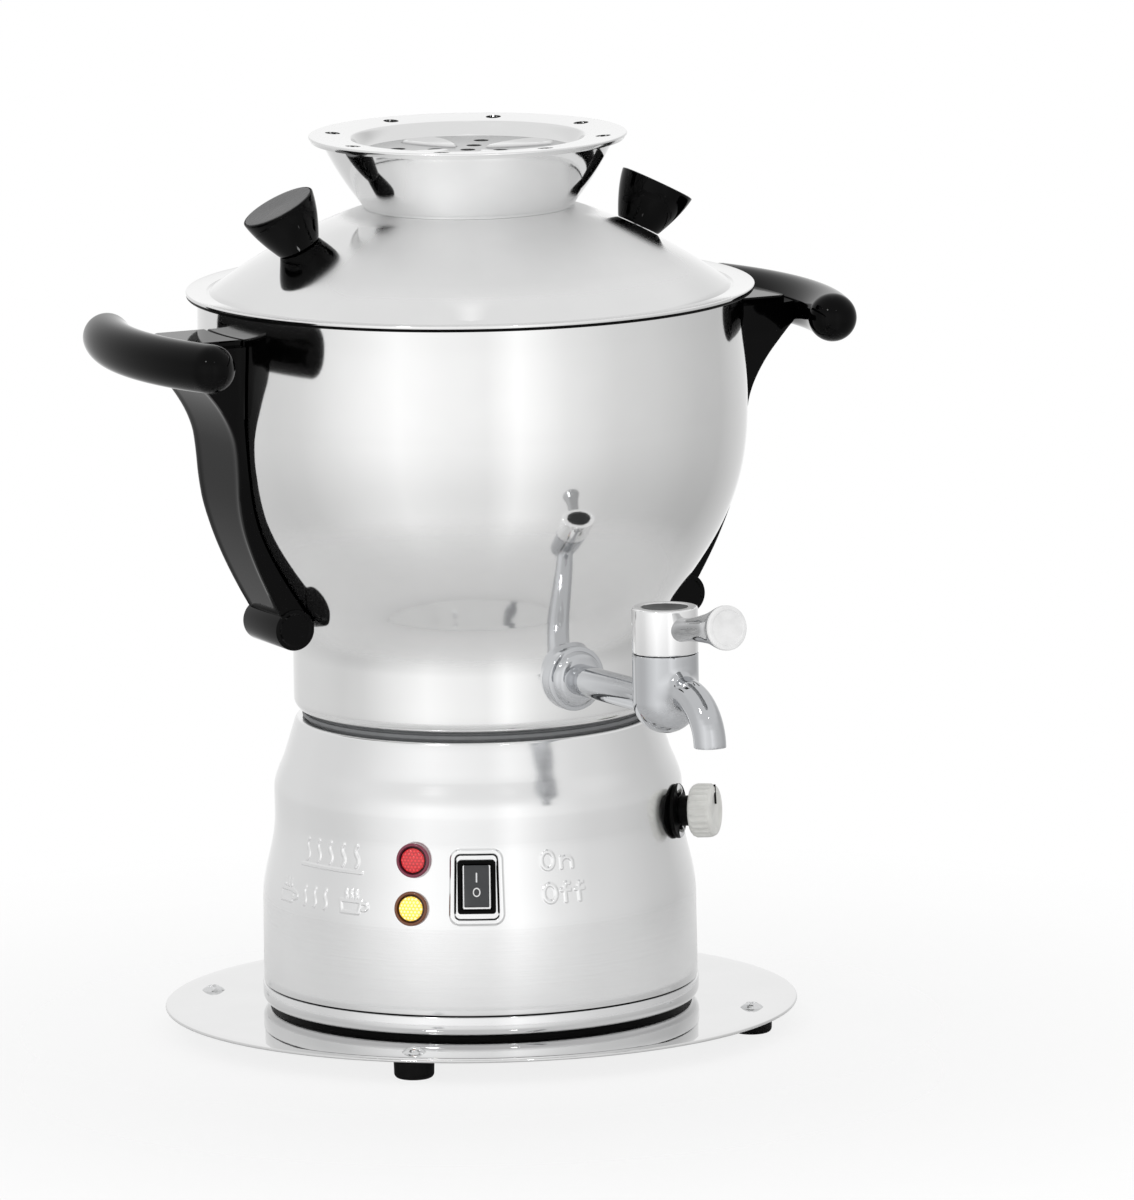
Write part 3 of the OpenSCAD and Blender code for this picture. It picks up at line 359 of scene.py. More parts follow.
def bevelled(obj, width, angle):
    """Rounds an object's edges that are sharper than an angle."""
    bevel = obj.modifiers.new("bevel", "BEVEL")
    bevel.width = width * MM
    bevel.segments = 3
    bevel.limit_method = "ANGLE"
    bevel.angle_limit = math.radians(angle)
    return obj


def skin(rows, n, closed=False):
    """Faces between rings of n points that follow each other."""
    return [[i * n + j, i * n + (j + 1) % n, k * n + (j + 1) % n, k * n + j]
            for i in range(rows if closed else rows - 1) for k in [(i + 1) % rows]
            for j in range(n)]


def lids(rows, n):
    """Faces that close the first and the last ring."""
    return [list(range(n))[::-1], list(range((rows - 1) * n, rows * n))]


def prism(name, low, high, at=None):
    """A solid between two rings of points."""
    n = len(low)
    return mesh_object(name, [*low, *high], skin(2, n) + lids(2, n), at)


def slab(name, outline, low, high, at=None):
    """An outline of (Y, Z) points drawn from one X to another."""
    return prism(name, *([[x, *p] for p in outline] for x in (low, high)), at)


def points_of(obj):
    """The object's vertices in millimetres."""
    co = np.empty(len(obj.data.vertices) * 3)
    obj.data.vertices.foreach_get("co", co)
    return co.reshape(-1, 3) / MM


def marked(obj, name, values):
    """Keeps a number for each vertex, for the materials."""
    obj.data.attributes.new(name, "FLOAT", "POINT").data.foreach_set("value", values)


def rounded(w, h, r, n=6):
    """A rectangle of half sizes w and h with rounded corners."""
    return (arc((w - r, h - r), r, 0, 90, n) + arc((-w + r, h - r), r, 90, 180, n)
            + arc((-w + r, -h + r), r, 180, 270, n) + arc((w - r, -h + r), r, 270, 360, n))


# ---------------- materials
class Nodes:
    """Short ways to add nodes to a node tree."""

    def __init__(self, tree):
        self.tree = tree

    def put(self, node, key, value):
        """Links a socket to an input, or sets the input to a constant."""
        if isinstance(value, bpy.types.NodeSocket):
            self.tree.links.new(value, node.inputs[key])
        else:
            node.inputs[key].default_value = value

    def node(self, kind, inputs=(), **settings):
        node = self.tree.nodes.new("ShaderNode" + kind)
        for key, value in settings.items():
            setattr(node, key, value)
        for key, value in dict(inputs).items():
            self.put(node, key, value)
        return node

    def maths(self, operation, a, b=0.0):
        return self.node("Math", {0: a, 1: b}, operation=operation).outputs[0]

    def larger(self, a, b):
        return self.maths("MAXIMUM", a, b)

    def axes(self, vector):
        return self.node("SeparateXYZ", {0: vector}).outputs

    def products(self, *pairs):
        """The sum of the products of two pairs."""
        return self.maths("ADD", *(self.maths("MULTIPLY", a, b) for a, b in pairs))

    def radius(self, x, y):
        return self.maths("SQRT", self.products((x, x), (y, y)))

    def between(self, value, low, high, start=0.3, end=0.7, **settings):
        return self.node("MapRange", {
            "Value": value, "From Min": start, "From Max": end, "To Min": low,
            "To Max": high}, **settings).outputs[0]


class Finish(Nodes):
    """A Principled material whose patterns lie in the object's own frame."""

    def __init__(self, name, colour, metallic, roughness, specular=0.5, coat=0.0):
        self.material = bpy.data.materials.new(name)
        self.material.use_nodes = True
        super().__init__(self.material.node_tree)
        self.shader = self.tree.nodes["Principled BSDF"]
        self.set("Base Color", (*colour, 1))
        self.set("Metallic", metallic)
        self.set("Roughness", roughness)
        self.set("Specular IOR Level", specular)
        self.set("Coat Weight", coat)
        self.set("Coat Roughness", 0.05)
        self.place = self.node("TexCoord").outputs["Object"]

    def set(self, key, value):
        self.put(self.shader, key, value)

    def attribute(self, name):
        return self.node("Attribute", attribute_name=name).outputs["Fac"]

    def noise(self, scale, detail, vector=None):
        return self.node("TexNoise", {
            "Scale": scale, "Detail": detail,
            "Vector": self.place if vector is None else vector}).outputs[0]

    def lines_round(self):
        """Fine polishing lines round Z."""
        x, y, z = self.axes(self.place)
        turn, across = 2.0, 1400.0
        where = self.node("CombineXYZ", {
            0: self.maths("MULTIPLY", self.maths("ARCTAN2", y, x), turn),
            1: self.maths("MULTIPLY", self.radius(x, y), across),
            2: self.maths("MULTIPLY", z, across)})
        return self.noise(1.0, 2.0, where.outputs[0])

    def mixed(self, value, low, high, start=0.3, end=0.7):
        ramp = self.node("ValToRGB", {0: value})
        for stop, position, colour in zip(ramp.color_ramp.elements, (start, end), (low, high)):
            stop.position = position
            stop.color = (*colour, 1)
        return ramp.outputs[0]

    def clouded(self, colour, scale, detail, dark):
        """Colours the material unevenly, down to a share of its colour."""
        self.set("Base Color", self.mixed(self.noise(scale, detail),
                                          [c * dark for c in colour], colour))

    def bump(self, height, distance, strength=1.0, before=None):
        node = self.node("Bump", {
            "Strength": strength, "Distance": distance, "Height": height})
        if before is not None:
            self.put(node, "Normal", before)
        self.set("Normal", node.outputs[0])
        return node.outputs[0]


LINE_DEPTH = 0.000003
SHEET_CLOUD = (30.0, 4.0, 0.965)         # scale, detail and darkest share of sheet steel


def steel(name, colour, low, high, wave=0.00004, lines=1.0):
    """Polished sheet steel: round polishing lines, soft waves and uneven gloss."""
    f = Finish(name, colour, 1.0, low)
    fine, broad = f.lines_round(), f.noise(14.0, 2.0)
    f.set("Roughness", f.between(f.products((fine, 0.4), (broad, 0.6)), low, high))
    f.clouded(colour, *SHEET_CLOUD)
    f.bump(fine, LINE_DEPTH * lines, 1.0, f.bump(broad, wave))
    return f.material


def satin_lid(name, colour, satin, low, high):
    """Satin sheet steel, polished at its rim and around the two knobs."""
    f = Finish(name, colour, 1.0, low)
    x, y = f.axes(f.place)[:2]
    radius = f.radius(x, y)
    turn = math.radians(LID_TURN)
    along = f.products((x, math.cos(turn)), (y, math.sin(turn)))
    share = f.maths("ABSOLUTE", f.maths("DIVIDE", along, radius))
    away = f.larger(f.between(share, 1.0, 0.0, 0.77, 0.93),
                    f.between(radius, 1.0, 0.0, 47 * MM, 53 * MM))
    dull = f.maths("MULTIPLY", f.between(radius, satin, 0.0, 84 * MM, 96 * MM), away)
    f.set("Roughness", f.maths("ADD", f.between(f.noise(14.0, 2.0), low, high), dull))
    f.clouded(colour, *SHEET_CLOUD)
    f.bump(f.lines_round(), LINE_DEPTH)
    return f.material


def pressed_steel(name, colour, painted_shade_field):
    """Polished sheet with a duller field round its raised petals, whose colour is darker there as
    painted shade in the stand's recess.
    """
    f = Finish(name, colour, 1.0, 0.1)
    raised = f.attribute("raised")
    f.set("Roughness", f.maths("ADD", f.between(f.noise(14.0, 2.0), 0.08, 0.14),
                               f.between(raised, 0.15, 0.0)))
    # The field round the petals is painted darker: painted shade in the recess, while the raised
    # petals keep the full colour.
    f.set("Base Color", f.mixed(raised, painted_shade_field, colour, 0.15, 0.6))
    f.bump(f.lines_round(), LINE_DEPTH)
    return f.material


def plastic(name, colour, roughness, specular, grain=0.0, coat=0.0):
    """Moulded plastic with a faint grain and uneven gloss."""
    f = Finish(name, colour, 0.0, roughness, specular, coat)
    f.set("Roughness", f.between(f.noise(60.0, 3.0), roughness * 0.85, roughness * 1.2))
    f.clouded(colour, 220.0, 2.0, 0.9)
    f.bump(f.noise(300.0, 2.0), LINE_DEPTH + grain, 0.5)
    return f.material


def brushed_plastic(name, colour):
    """Dark metallised plastic with pale straight brush lines."""
    f = Finish(name, colour, 0.0, 0.3, 0.4)
    stretched = f.node("Mapping", {"Vector": f.place, "Scale": (40.0, 2200.0, 40.0)})
    lines = f.noise(1.0, 3.0, stretched.outputs[0])
    f.set("Base Color", f.mixed(lines, colour, [c * 3 for c in colour], 0.45, 0.75))
    f.set("Roughness", f.between(lines, 0.22, 0.38))
    f.bump(lines, 0.000004)
    return f.material


def lens(name, colour, light, line):
    """A lamp's coloured lens lit from behind, with its moulded net of darker lines."""
    f = Finish(name, colour, 0.0, 0.12, 0.6, 0.6)
    f.set("Emission Color", f.mixed(f.attribute("net"), line, light, 0.25, 0.6))
    f.set("Emission Strength", 0.9)
    f.clouded(colour, 900.0, 1.0, 0.7)
    return f.material


FINISHES = {
    steel: {
        # The drip plate's steel is darker than the rest: painted shade standing for the shaded
        # floor and parts it mirrors.
        "plate_steel": ((0.75, 0.75, 0.75), 0.02, 0.05, 0.00001, 0.5),
        "trim_steel": ((0.80, 0.802, 0.805), 0.06, 0.12),
        "shell_steel": ((0.86, 0.862, 0.863), 0.12, 0.20, 0.00008),
        "pot_steel": ((0.85, 0.851, 0.848), 0.05, 0.09),
        "stand_steel": ((0.91, 0.912, 0.912), 0.04, 0.08),
        "tap_chrome": ((0.57, 0.58, 0.596), 0.02, 0.05, 0.00001, 0.2),
        # The cap sleeve's chrome is a lighter copy of the tap's chrome, a painted highlight, and
        # the lever's is a darker copy, painted shade.
        "sleeve_chrome": ((0.94, 0.94, 0.942), 0.05, 0.09, 0.00001, 0.2),
        "lever_chrome": ((0.43, 0.435, 0.44), 0.05, 0.09, 0.00001, 0.2),
        "screw_steel": ((0.75, 0.755, 0.76), 0.12, 0.22, 0.00001),
        "inner_steel": ((0.66, 0.665, 0.67), 0.28, 0.38),
        "element_steel": ((0.32, 0.30, 0.29), 0.35, 0.5),
        "aluminium": ((0.70, 0.71, 0.72), 0.35, 0.45),
        "brass": ((0.78, 0.60, 0.30), 0.2, 0.3),
    },
    satin_lid: {"lid_steel": ((0.86, 0.861, 0.86), 0.5, 0.05, 0.08)},
    # The second colour is painted shade on the stand's floor round the petals.
    pressed_steel: {"tray_steel": ((0.84, 0.841, 0.84), (0.5, 0.502, 0.505))},
    plastic: {
        "cap_insert": ((0.025, 0.026, 0.027), 0.3, 0.12),
        "lever_white": ((0.90, 0.90, 0.90), 0.25, 0.5),
        "black_gloss": ((0.0008, 0.0008, 0.0009), 0.05, 0.085),
        "black_matte": ((0.002, 0.002, 0.002), 0.4, 0.05, 0.00001),
        "black_rubber": ((0.005, 0.005, 0.005), 0.6, 0.12, 0.00003),
        "seal_grey": ((0.20, 0.205, 0.21), 0.5, 0.3, 0.00002),
        "rocker_grey": ((0.045, 0.047, 0.05), 0.35, 0.4, 0.00002),
        "knob_white": ((0.75, 0.75, 0.72), 0.35, 0.4, 0.00001),
        "ceramic_white": ((0.78, 0.78, 0.74), 0.3, 0.5),
        "bakelite": ((0.05, 0.035, 0.025), 0.4, 0.4),
        "mark_white": ((0.85, 0.85, 0.85), 0.4, 0.4),
        "lamp_red_ring": ((0.20, 0.014, 0.045), 0.15, 0.5, 0.0, 0.5),
        "lamp_amber_ring": ((0.17, 0.045, 0.006), 0.15, 0.5, 0.0, 0.5),
        "lamp_inner": ((0.012, 0.003, 0.005), 0.2, 0.5, 0.0, 0.5),
    },
    brushed_plastic: {"knob_cap_grey": ((0.028, 0.028, 0.029),)},
    lens: {
        "red_lens": ((0.55, 0.01, 0.015), (0.55, 0.025, 0.03), (0.16, 0.004, 0.008)),
        "amber_lens": ((0.9, 0.6, 0.05), (1.0, 0.95, 0.62), (0.78, 0.46, 0.05)),
    },
}
FINISH = {name: make(name, *values) for make, table in FINISHES.items()
          for name, values in table.items()}


# ---------------- drip plate, feet, trim
def drip_plate():
    step, head_r = 0.3, 3.8
    middle_r = span("pan_screws")[1][0] - 2 * head_r - 3
    edge = (plate_top - step) / 2
    outline = path(
        (0, 0), (middle_r, 0), (middle_r + 0.5, step), (plate_r - edge, step),
        arc((plate_r - edge, plate_top - edge), edge, -90, 90, 12), (plate_r - 6, plate_top),
        (0, plate_top))
    plate = lathe("drip_plate", outline, n=360)
    drilled(plate, ring_of_holes(VENT_RING_R, 22.5, 45, -2, 4))
    # The plate's darker steel colour is painted shade.
    dress(plate, "samovar", "plate_steel", "base_plate")


def feet():
    low, high = heights("rubber_feet")
    r = 8.0
    outline = path(
        (0, low + 1.2), (2.6, low + 1.2), (3.0, low), corner(r - 0.15, low, 2.0, 8, False),
        (r, high - 1.0), (r, high), (0, high))
    rubbers, heads = [], []
    for i in range(4):
        angle = 135 + 90 * i
        rubbers.append(lathe("foot", outline, place(angle, FOOT_REACH), n=64))
        on_plate = place(angle, FOOT_REACH, plate_top) @ Matrix.Rotation(0.6 * i, 4, "Z")
        heads.append(cross_head("head", 4.6, 2.0, on_plate))
    dress(joined("foot_rubbers", rubbers), "samovar", "black_rubber", "rubber_feet")
    dress(joined("foot_screw_heads", heads), "samovar", "screw_steel", "foot_screws")


def cross_head(name, r, h, at):
    """A domed screw head with a cross recess."""
    rise, recess = (r * r + h * h) / (2 * h), 0.9
    rows = [[0, 0]] + [[r * k, 0] for k in (0.5, 1.0)]
    rows += [[r * k, 0.12 + math.sqrt(max(rise ** 2 - (r * k) ** 2, 0)) - rise + h - 0.12 * k]
             for k in np.linspace(1, 0.04, 26)]
    rows += [[0, h]]
    verts, faces = turned(rows, full_turn(64))
    x, y = np.abs(verts[:, 0]), np.abs(verts[:, 1])
    slot = np.minimum(x, y)
    reach = np.maximum(x, y)
    deep = smoothstep((0.16 * r - slot) / (0.1 * r)) * smoothstep((0.52 * r - reach) / (0.12 * r))
    verts[:, 2] -= np.where(verts[:, 2] > 0.15 * h, deep * recess, 0)
    return mesh_object(name, verts, faces, at, 50)


def trim_pan():
    bend, wall = 3.6, 1.2
    trim_r, collar_r, rim = shell_r + 0.4, shell_r - 1.3, pan_high - 4.0
    outline = path(
        (0, pan_low), corner(trim_r, pan_low, bend, 14, False), (trim_r, rim - 1.1),
        (trim_r - 0.25, rim - 0.65), (trim_r - 0.8, rim - 0.4), (collar_r, rim - 0.4),
        (collar_r, pan_high), (collar_r - 1, pan_high), (collar_r - 1, rim - 2),
        (trim_r - bend, pan_low + wall), (0, pan_low + wall))
    pan = lathe("trim_pan", outline, n=360)
    drilled(pan, ring_of_holes(VENT_RING_R, 22.5, 45, pan_low - 1, pan_low + 3))
    dress(pan, "samovar", "trim_steel", "base_pan")
    r, z = collar_r + 0.02, rim - 0.38
    gap = [[r, z], [r + 0.48, z], [r + 0.48, z + 0.36], [r, z + 0.36]]
    dress(lathe("trim_gasket", gap), "samovar", "black_matte")


# ---------------- heater shell
def share(k):
    """Height at a share of the shell's height."""
    return shell_z + k * (shell_top_z - shell_z)


def shell_outline():
    """The heater shell's outside from its foot to its top corner."""
    return path(
        (shell_r - 0.5, shell_z), (shell_r - 0.1, shell_z + 0.15), (shell_r, shell_z + 0.6),
        (shell_r - 0.2, share(0.31)),
        ((shell_r - 0.2, share(0.424)), (waist_r, share(0.518)), (waist_r, share(0.631)), 24),
        (waist_r + 0.1, share(0.726)),
        ((waist_r + 0.1, share(0.773)), (neck_r + 6, share(0.816)),
         (neck_r + 4.3, share(0.858)), 24), arc((neck_r - 1.6, shell_top_z - 1.6), 1.6, 17, 90, 8))


def shell_r_at(z):
    pts = np.array([p for p in shell_outline() if p[1] <= shell_top_z - 1.6])
    return np.interp(z, pts[:, 1], pts[:, 0])


def lean_at(z, half):
    return math.degrees(math.atan2(shell_r_at(z - half) - shell_r_at(z + half), 2 * half))


def reach_at(z, half):
    return max(shell_r_at(z), (shell_r_at(z - half) + shell_r_at(z + half)) / 2) + 0.3


def on_shell(angle, z, half):
    return place(angle, reach_at(z, half), z, lean_at(z, half))


def wave(u, low, high, swing=0.9):
    """A rising wavy stroke, as on a heat sign."""
    v = np.linspace(low, high, 16)
    return np.c_[u + swing * np.sin((v - low) / (high - low) * 2 * np.pi), v]


def ring_stroke(u, v, a, b, start=0, end=360):
    t = np.radians(np.linspace(start, end, 28))
    return np.c_[u + a * np.cos(t), v + b * np.sin(t)]


def strokes():
    """Centre lines of the raised marks, as (u, v) round the shell and up, from the switch."""
    def across(angle):
        return (angle - SWITCH_ANGLE) * MARK_MM

    heat, warm, n = across(-76.8), across(-80.8), across(-6.23)
    marks = [wave(heat - 14 + 7 * k, 67.6, 75.8) for k in range(5)]
    marks += [[[heat - 17, 65.6], [heat + 17, 65.6]]]
    for cup in (warm - 19, warm + 19):
        marks += [[[cup - 5, 54.6], [cup - 4, 50.2], [cup + 4, 50.2], [cup + 5, 54.6],
                   [cup - 5, 54.6]], ring_stroke(cup + 6, 52.8, 1.9, 1.3, -100, 100)]
        marks += [wave(cup + s, 55.8, 58.6, 0.4) for s in (-2.4, 0, 2.4)]
    marks += [wave(warm - 6 + 6 * k, 50.2, 57.4, 0.7) for k in range(3)]
    marks += [ring_stroke(across(-11.83), middle, 2.6, 3.35) for middle in (70.95, 58.3)]
    marks += [[[n - 2.4, 67.7], [n - 2.4, 71.6]], ring_stroke(n, 69.4, 2.4, 2.3, 180, 0),
              [[n + 2.4, 69.4], [n + 2.4, 67.7]]]
    for f in (across(-7.21), across(-3.14)):
        marks += [[[f - 0.4, 54.9], [f - 0.4, 60.2]],
                  ring_stroke(f + 1.0, 60.2, 1.4, 1.6, 180, 70),
                  [[f - 2.0, 59.2], [f + 1.7, 59.2]]]
    return [np.array(line) for line in marks]


def relief(u, v):
    """Height of the shell's marks and of the rib round the switch at (u, v)."""
    near = np.full(u.shape, 99.0)
    for line in strokes():
        box = ((u > line[:, 0].min() - 2) & (u < line[:, 0].max() + 2)
               & (v > line[:, 1].min() - 2) & (v < line[:, 1].max() + 2))
        near[box] = np.minimum(near[box], line_distance(np.stack([u[box], v[box]], 1), line))
    bend, rib_u, rib_v = 3.0, 9.4, 13.5
    q = np.abs(np.stack([u, v - SWITCH_Z], -1)) - (np.array([rib_u, rib_v]) - bend)
    rib = np.abs(np.linalg.norm(np.maximum(q, 0), axis=-1)
                 + np.minimum(np.max(q, axis=-1), 0) - bend)
    return 0.45 * smoothstep((1.0 - near) / 0.6) + 0.75 * smoothstep((1.45 - rib) / 0.9)


def heater_shell():
    """The shell as a turned sheet, with a fine grid where the marks are raised."""
    low, high = 44, 80                  # the marks lie between these heights
    coarse, fine = (resampled(shell_outline(), step) for step in (3.0, 0.27))
    outside = ([p for p in coarse if p[1] <= low] + [p for p in fine if low < p[1] < high]
               + [p for p in coarse if p[1] >= high])
    inside = moved([p for p in resampled(shell_outline(), 6.0) if p[1] < shell_top_z - 1.7], -1)
    outline = path(
        outside, (58, shell_top_z), (58, shell_top_z - 1), (neck_r - 2.6, shell_top_z - 1),
        inside[::-1])
    angles = np.radians(np.r_[np.arange(-110, 0, 0.19), np.arange(1.5, 249.5, 1.5)] - 90)

    def radius(r, z, a):
        u = (np.degrees(a) + 90 - SWITCH_ANGLE) * MARK_MM
        return np.where(np.arange(len(outline))[:, None] < len(outside), r + relief(u, z), r)

    shell = mesh_object("shell_sheet", *turned(outline, angles, radius))
    inlet = place(180, 0, float(np.mean(heights("power_inlet"))))
    cut_by(shell, slab("window", rounded(13.85, 10.05, 0.2, 2), shell_r - 8, shell_r + 8, inlet))
    dress(shell, "samovar", "shell_steel", "heater_shell")


# ---------------- lamps, switch, thermostat
def lamp(name, z, ring, glass):
    """A pilot lamp: a coloured rim, a dark inner ring and a domed lens with a moulded net."""
    at = on_shell(LAMP_ANGLE, z, LAMP_R) @ OUTWARDS
    r, cell = LAMP_R, 1.25
    rim = path(
        (5.3, -2), (r, -0.6), (r, 1.2), corner(r, 2.0, 0.8, 8), (5.7, 1.9), (5.4, 1.2), (5.3, 1.0))
    well = [[0, -2], [5.45, -2], [5.45, 1.3], [5.1, 1.5], [4.8, 1.1], [0, 1.0]]
    dome = path((0, 0.5), (4.75, 0.5), (4.75, 1.5), ((4.0, 2.3), (1.8, 2.7), (0, 2.75), 14))

    def net(p):
        """Waves in three directions, between -1.5 and 3 together."""
        return sum(np.cos(2 * np.pi * (p[:, 0] * math.cos(t) + p[:, 1] * math.sin(t)) / cell)
                   for t in np.radians([0, 60, 120]))

    dress(lathe(name + "_rim", rim, at, n=96), "samovar", ring, name + "_lens", slot=glass)
    dress(lathe(name + "_well", well, at, n=64), "samovar", "lamp_inner", slot=glass)
    verts, faces = turned(resampled(dome, 0.15), full_turn(144))
    verts[:, 2] += np.where(verts[:, 2] > 1.55, 0.04 * net(verts), 0)
    face = mesh_object(name + "_face", verts, faces, None, 0)
    marked(face, "net", (net(points_of(face)) + 1.5) / 4.5)
    face.data.transform(at)
    dress(face, "samovar", glass)


def lamps():
    lamp("red_lamp", RED_Z, "lamp_red_ring", "red_lens")
    lamp("amber_lamp", AMBER_Z, "lamp_amber_ring", "amber_lens")


def switch():
    at = on_shell(SWITCH_ANGLE, SWITCH_Z, 10.5)
    outer, inner = rounded(7.5, 10.5, 1.2), rounded(5.55, 8.55, 0.5)
    rings = [(-4.0, outer), (1.5, outer), (2.0, rounded(7.0, 10.0, 1.0)),
             (2.0, rounded(6.1, 9.1, 0.8)), (1.1, inner), (-6.0, inner)]
    bezel = mesh_object("switch_bezel", [[x, *p] for x, line in rings for p in line],
                        skin(len(rings), len(outer), True), at, 30)
    dress(bezel, "samovar", "black_matte", "switch_frame")

    turn = at @ shift(-0.5) @ spin(-7, "Y")
    half, wide = 8.25, 4.9
    outline = [[3.45, -half], [3.5, -half + 0.4]]
    outline += [[rocker_front(z, half), z] for z in half * np.linspace(-0.92, 0.92, 21)]
    outline += [[3.5, half - 0.4], [3.45, half], [0, half - 0.3], [-3, 5], [-3, -5],
                [0, -half + 0.3]]
    rocker = prism("rocker_button", *([[x, y, z] for x, z in outline] for y in (-wide, wide)),
                   turn)
    shaded(applied(bevelled(rocker, 0.35, 40)).data, 40)
    dress(rocker, "rocker", "rocker_grey", "switch_rocker")
    marks = [mesh_object("mark", *mark, turn, 0) for mark in rocker_marks(half)]
    dress(joined("rocker_marks", marks), "rocker", "mark_white", slot="rocker_grey")


def rocker_front(z, half):
    """How far out the rocker's face is at a height from its pivot."""
    return 2.4 + 1.05 * np.abs(z / half) ** 1.35


def rocker_marks(half):
    """Vertices and faces of the printed ring and bar on the two halves of the rocker."""
    a = full_turn(48)
    ring = np.vstack([np.c_[x * np.cos(a), -2.4 + y * np.sin(a)]
                      for x, y in ((1.05, 1.35), (1.5, 1.85))])
    bar = np.array(rounded(0.28, 1.9, 0.2, 4)) + [0, 3.4]
    return [(np.c_[rocker_front(flat[:, 1], half) + 0.03, flat], faces)
            for flat, faces in ((ring, skin(2, 48)), (bar, [list(range(len(bar)))]))]


def thermostat():
    r, ribs = 10.8, 24
    on_face = on_shell(DIAL_ANGLE, DIAL_Z, r)
    at = on_face @ OUTWARDS
    plate = [[3.2, 0], [r - 0.3, 0], [r, 0.3], [r, 1.2], [r - 0.3, 1.5], [3.2, 1.5]]
    dress(lathe("dial_disc", plate, at, n=128), "samovar", "black_matte", "dial_plate")
    hub_low, hub_high, end = 1.9, 6.9, 16.4
    hub = [[0, hub_low], [5.6, hub_low], [6.0, hub_low + 0.4], [6.0, hub_high + 0.2],
           [0, hub_high + 0.2]]

    def ribbed(radius, z, a):
        depth = smoothstep((z - hub_high - 0.9) / 1.0) * smoothstep((end - 1.2 - z) / 1.0)
        ridge = 0.5 + 0.5 * np.cos(ribs * a)
        return radius + np.where(radius > r - 1.5, 0.55 * depth * ridge ** 2, 0)

    knob = path(
        (0, hub_high), (r - 1.4, hub_high),
        resampled([[r - 0.6, hub_high + 0.7], [r - 0.7, end - 1.4]], 0.6),
        corner(r - 0.7, end - 0.1, 1.2, 8), (r - 3.4, end), (r - 4.0, end - 0.5), (0, end - 0.5))
    dress(lathe("dial_knob", knob, at, 40, 384, ribbed), "dial", "knob_white", "thermostat_knob")
    dress(lathe("dial_hub", hub, at, n=96), "dial", "black_matte")
    pointer = slab("dial_pointer", [[-0.5, 2.6], [0.5, 2.6], [0.35, r - 0.5], [-0.35, r - 0.5]],
                   end - 0.55, end + 0.12, on_face)
    dress(pointer, "dial", "black_matte")


# ---------------- seal and pot
def seal():
    r, groove = pot_foot_r - 3.3, 0.7
    z, top = heights("seal_ring")
    outline = path(
        (r - 8, z), (r - 1.4, z), (r - 1.4, z + groove), corner(r, z + groove, 0.4, 4, False),
        corner(r, top - groove, 0.4, 4), (r - 1.4, top - groove), (r - 1.4, top), (r - 8, top))
    dress(lathe("seal_band", outline), "samovar", "seal_grey", "seal_ring")


def pot_outline():
    """The pot's outside from the edge of its bottom to its rim."""
    belly, blend, wide = pot_z + 120, pot_z + 46, pot_foot_r + 8.7
    return path(
        corner(pot_foot_r, pot_z, POT_CORNER, 12, False), (pot_foot_r, pot_z + 23),
        ((pot_foot_r, pot_z + 31), (wide - 4.8, blend - 6.4), (wide, blend), 28),
        ((wide + 18.6, blend + 24.8), (pot_r, belly - 32), (pot_r, belly), 56),
        ((pot_r + 0.2, belly + 12), (rim_r, belly + 28), (rim_r, belly + 38), 28), (rim_r, rim_z))


def pot_r_at(z):
    pts = np.array(pot_outline())
    return np.interp(z, pts[:, 1], pts[:, 0])


def pot():
    outside = resampled(pot_outline(), 4.0)
    inside = moved([p for p in outside if p[1] > pot_z + 4], -1)[::-1]
    bottom = arc((pot_foot_r - POT_CORNER, pot_z + POT_CORNER), POT_CORNER - 1, -10, -90, 6)
    body = lathe("pot_sheet", path((0, pot_z), outside, inside, bottom, (0, pot_z + 1.2)),
                 n=360)
    dress(body, "samovar", "pot_steel", "pot_foot", "pot_body")


# ---------------- lid and teapot stand
def dome_outline():
    """The lid's dome from its flange up to the teapot stand's seat."""
    seat_r = 41.5
    return path(
        (dome_r, rim_z + 1.2),
        ((dome_r - 21.3, rim_z + 16.5), (seat_r + 18.5, lid_seat_z - 5.7),
         (seat_r, lid_seat_z), 48), (seat_r - 0.2, lid_seat_z))


def lid():
    t, steam_r = 0.9, 33.0
    dome = dome_outline()
    outline = path(
        (lid_r - 0.5, rim_z), (lid_r - 0.1, rim_z + 0.15), (lid_r, rim_z + 0.5),
        arc((lid_r - 0.45, rim_z + 0.85), 0.45, 0, 110, 8), (lid_r - 1.4, rim_z + t),
        (dome_r + 1.6, rim_z + t), (dome_r + 0.9, rim_z + 0.4), (dome_r + 0.4, rim_z + 0.5), dome,
        (steam_r + 0.6, lid_seat_z), (steam_r, lid_seat_z - 0.6), (steam_r, lid_seat_z - 5),
        (steam_r + t, lid_seat_z - 5), (steam_r + t, lid_seat_z - t), moved(dome, 0, -t)[::-1],
        (dome_r, rim_z))
    body = lathe("lid_sheet", outline, n=360, sharp=28)
    dress(body, "lid", "lid_steel", "lid_dome")
    # A black ring under the flange's edge is a painted shadow: the dark line below the lid's edge,
    # where the flange hangs over the pot.
    edge = [[rim_r + 0.6, rim_z - 0.1], [rim_r + 0.6, rim_z - 0.9], [lid_r - 0.6, rim_z - 1.1],
            [lid_r - 0.25, rim_z - 0.7], [lid_r - 0.2, rim_z - 0.02], [lid_r - 0.6, rim_z + 0.05]]
    dress(lathe("lid_painted_shadow_ring", edge, n=360), "lid", "black_matte")


def dome_at(r):
    pts = np.array(dome_outline())[::-1]
    return float(np.interp(r, pts[:, 0], pts[:, 1]))


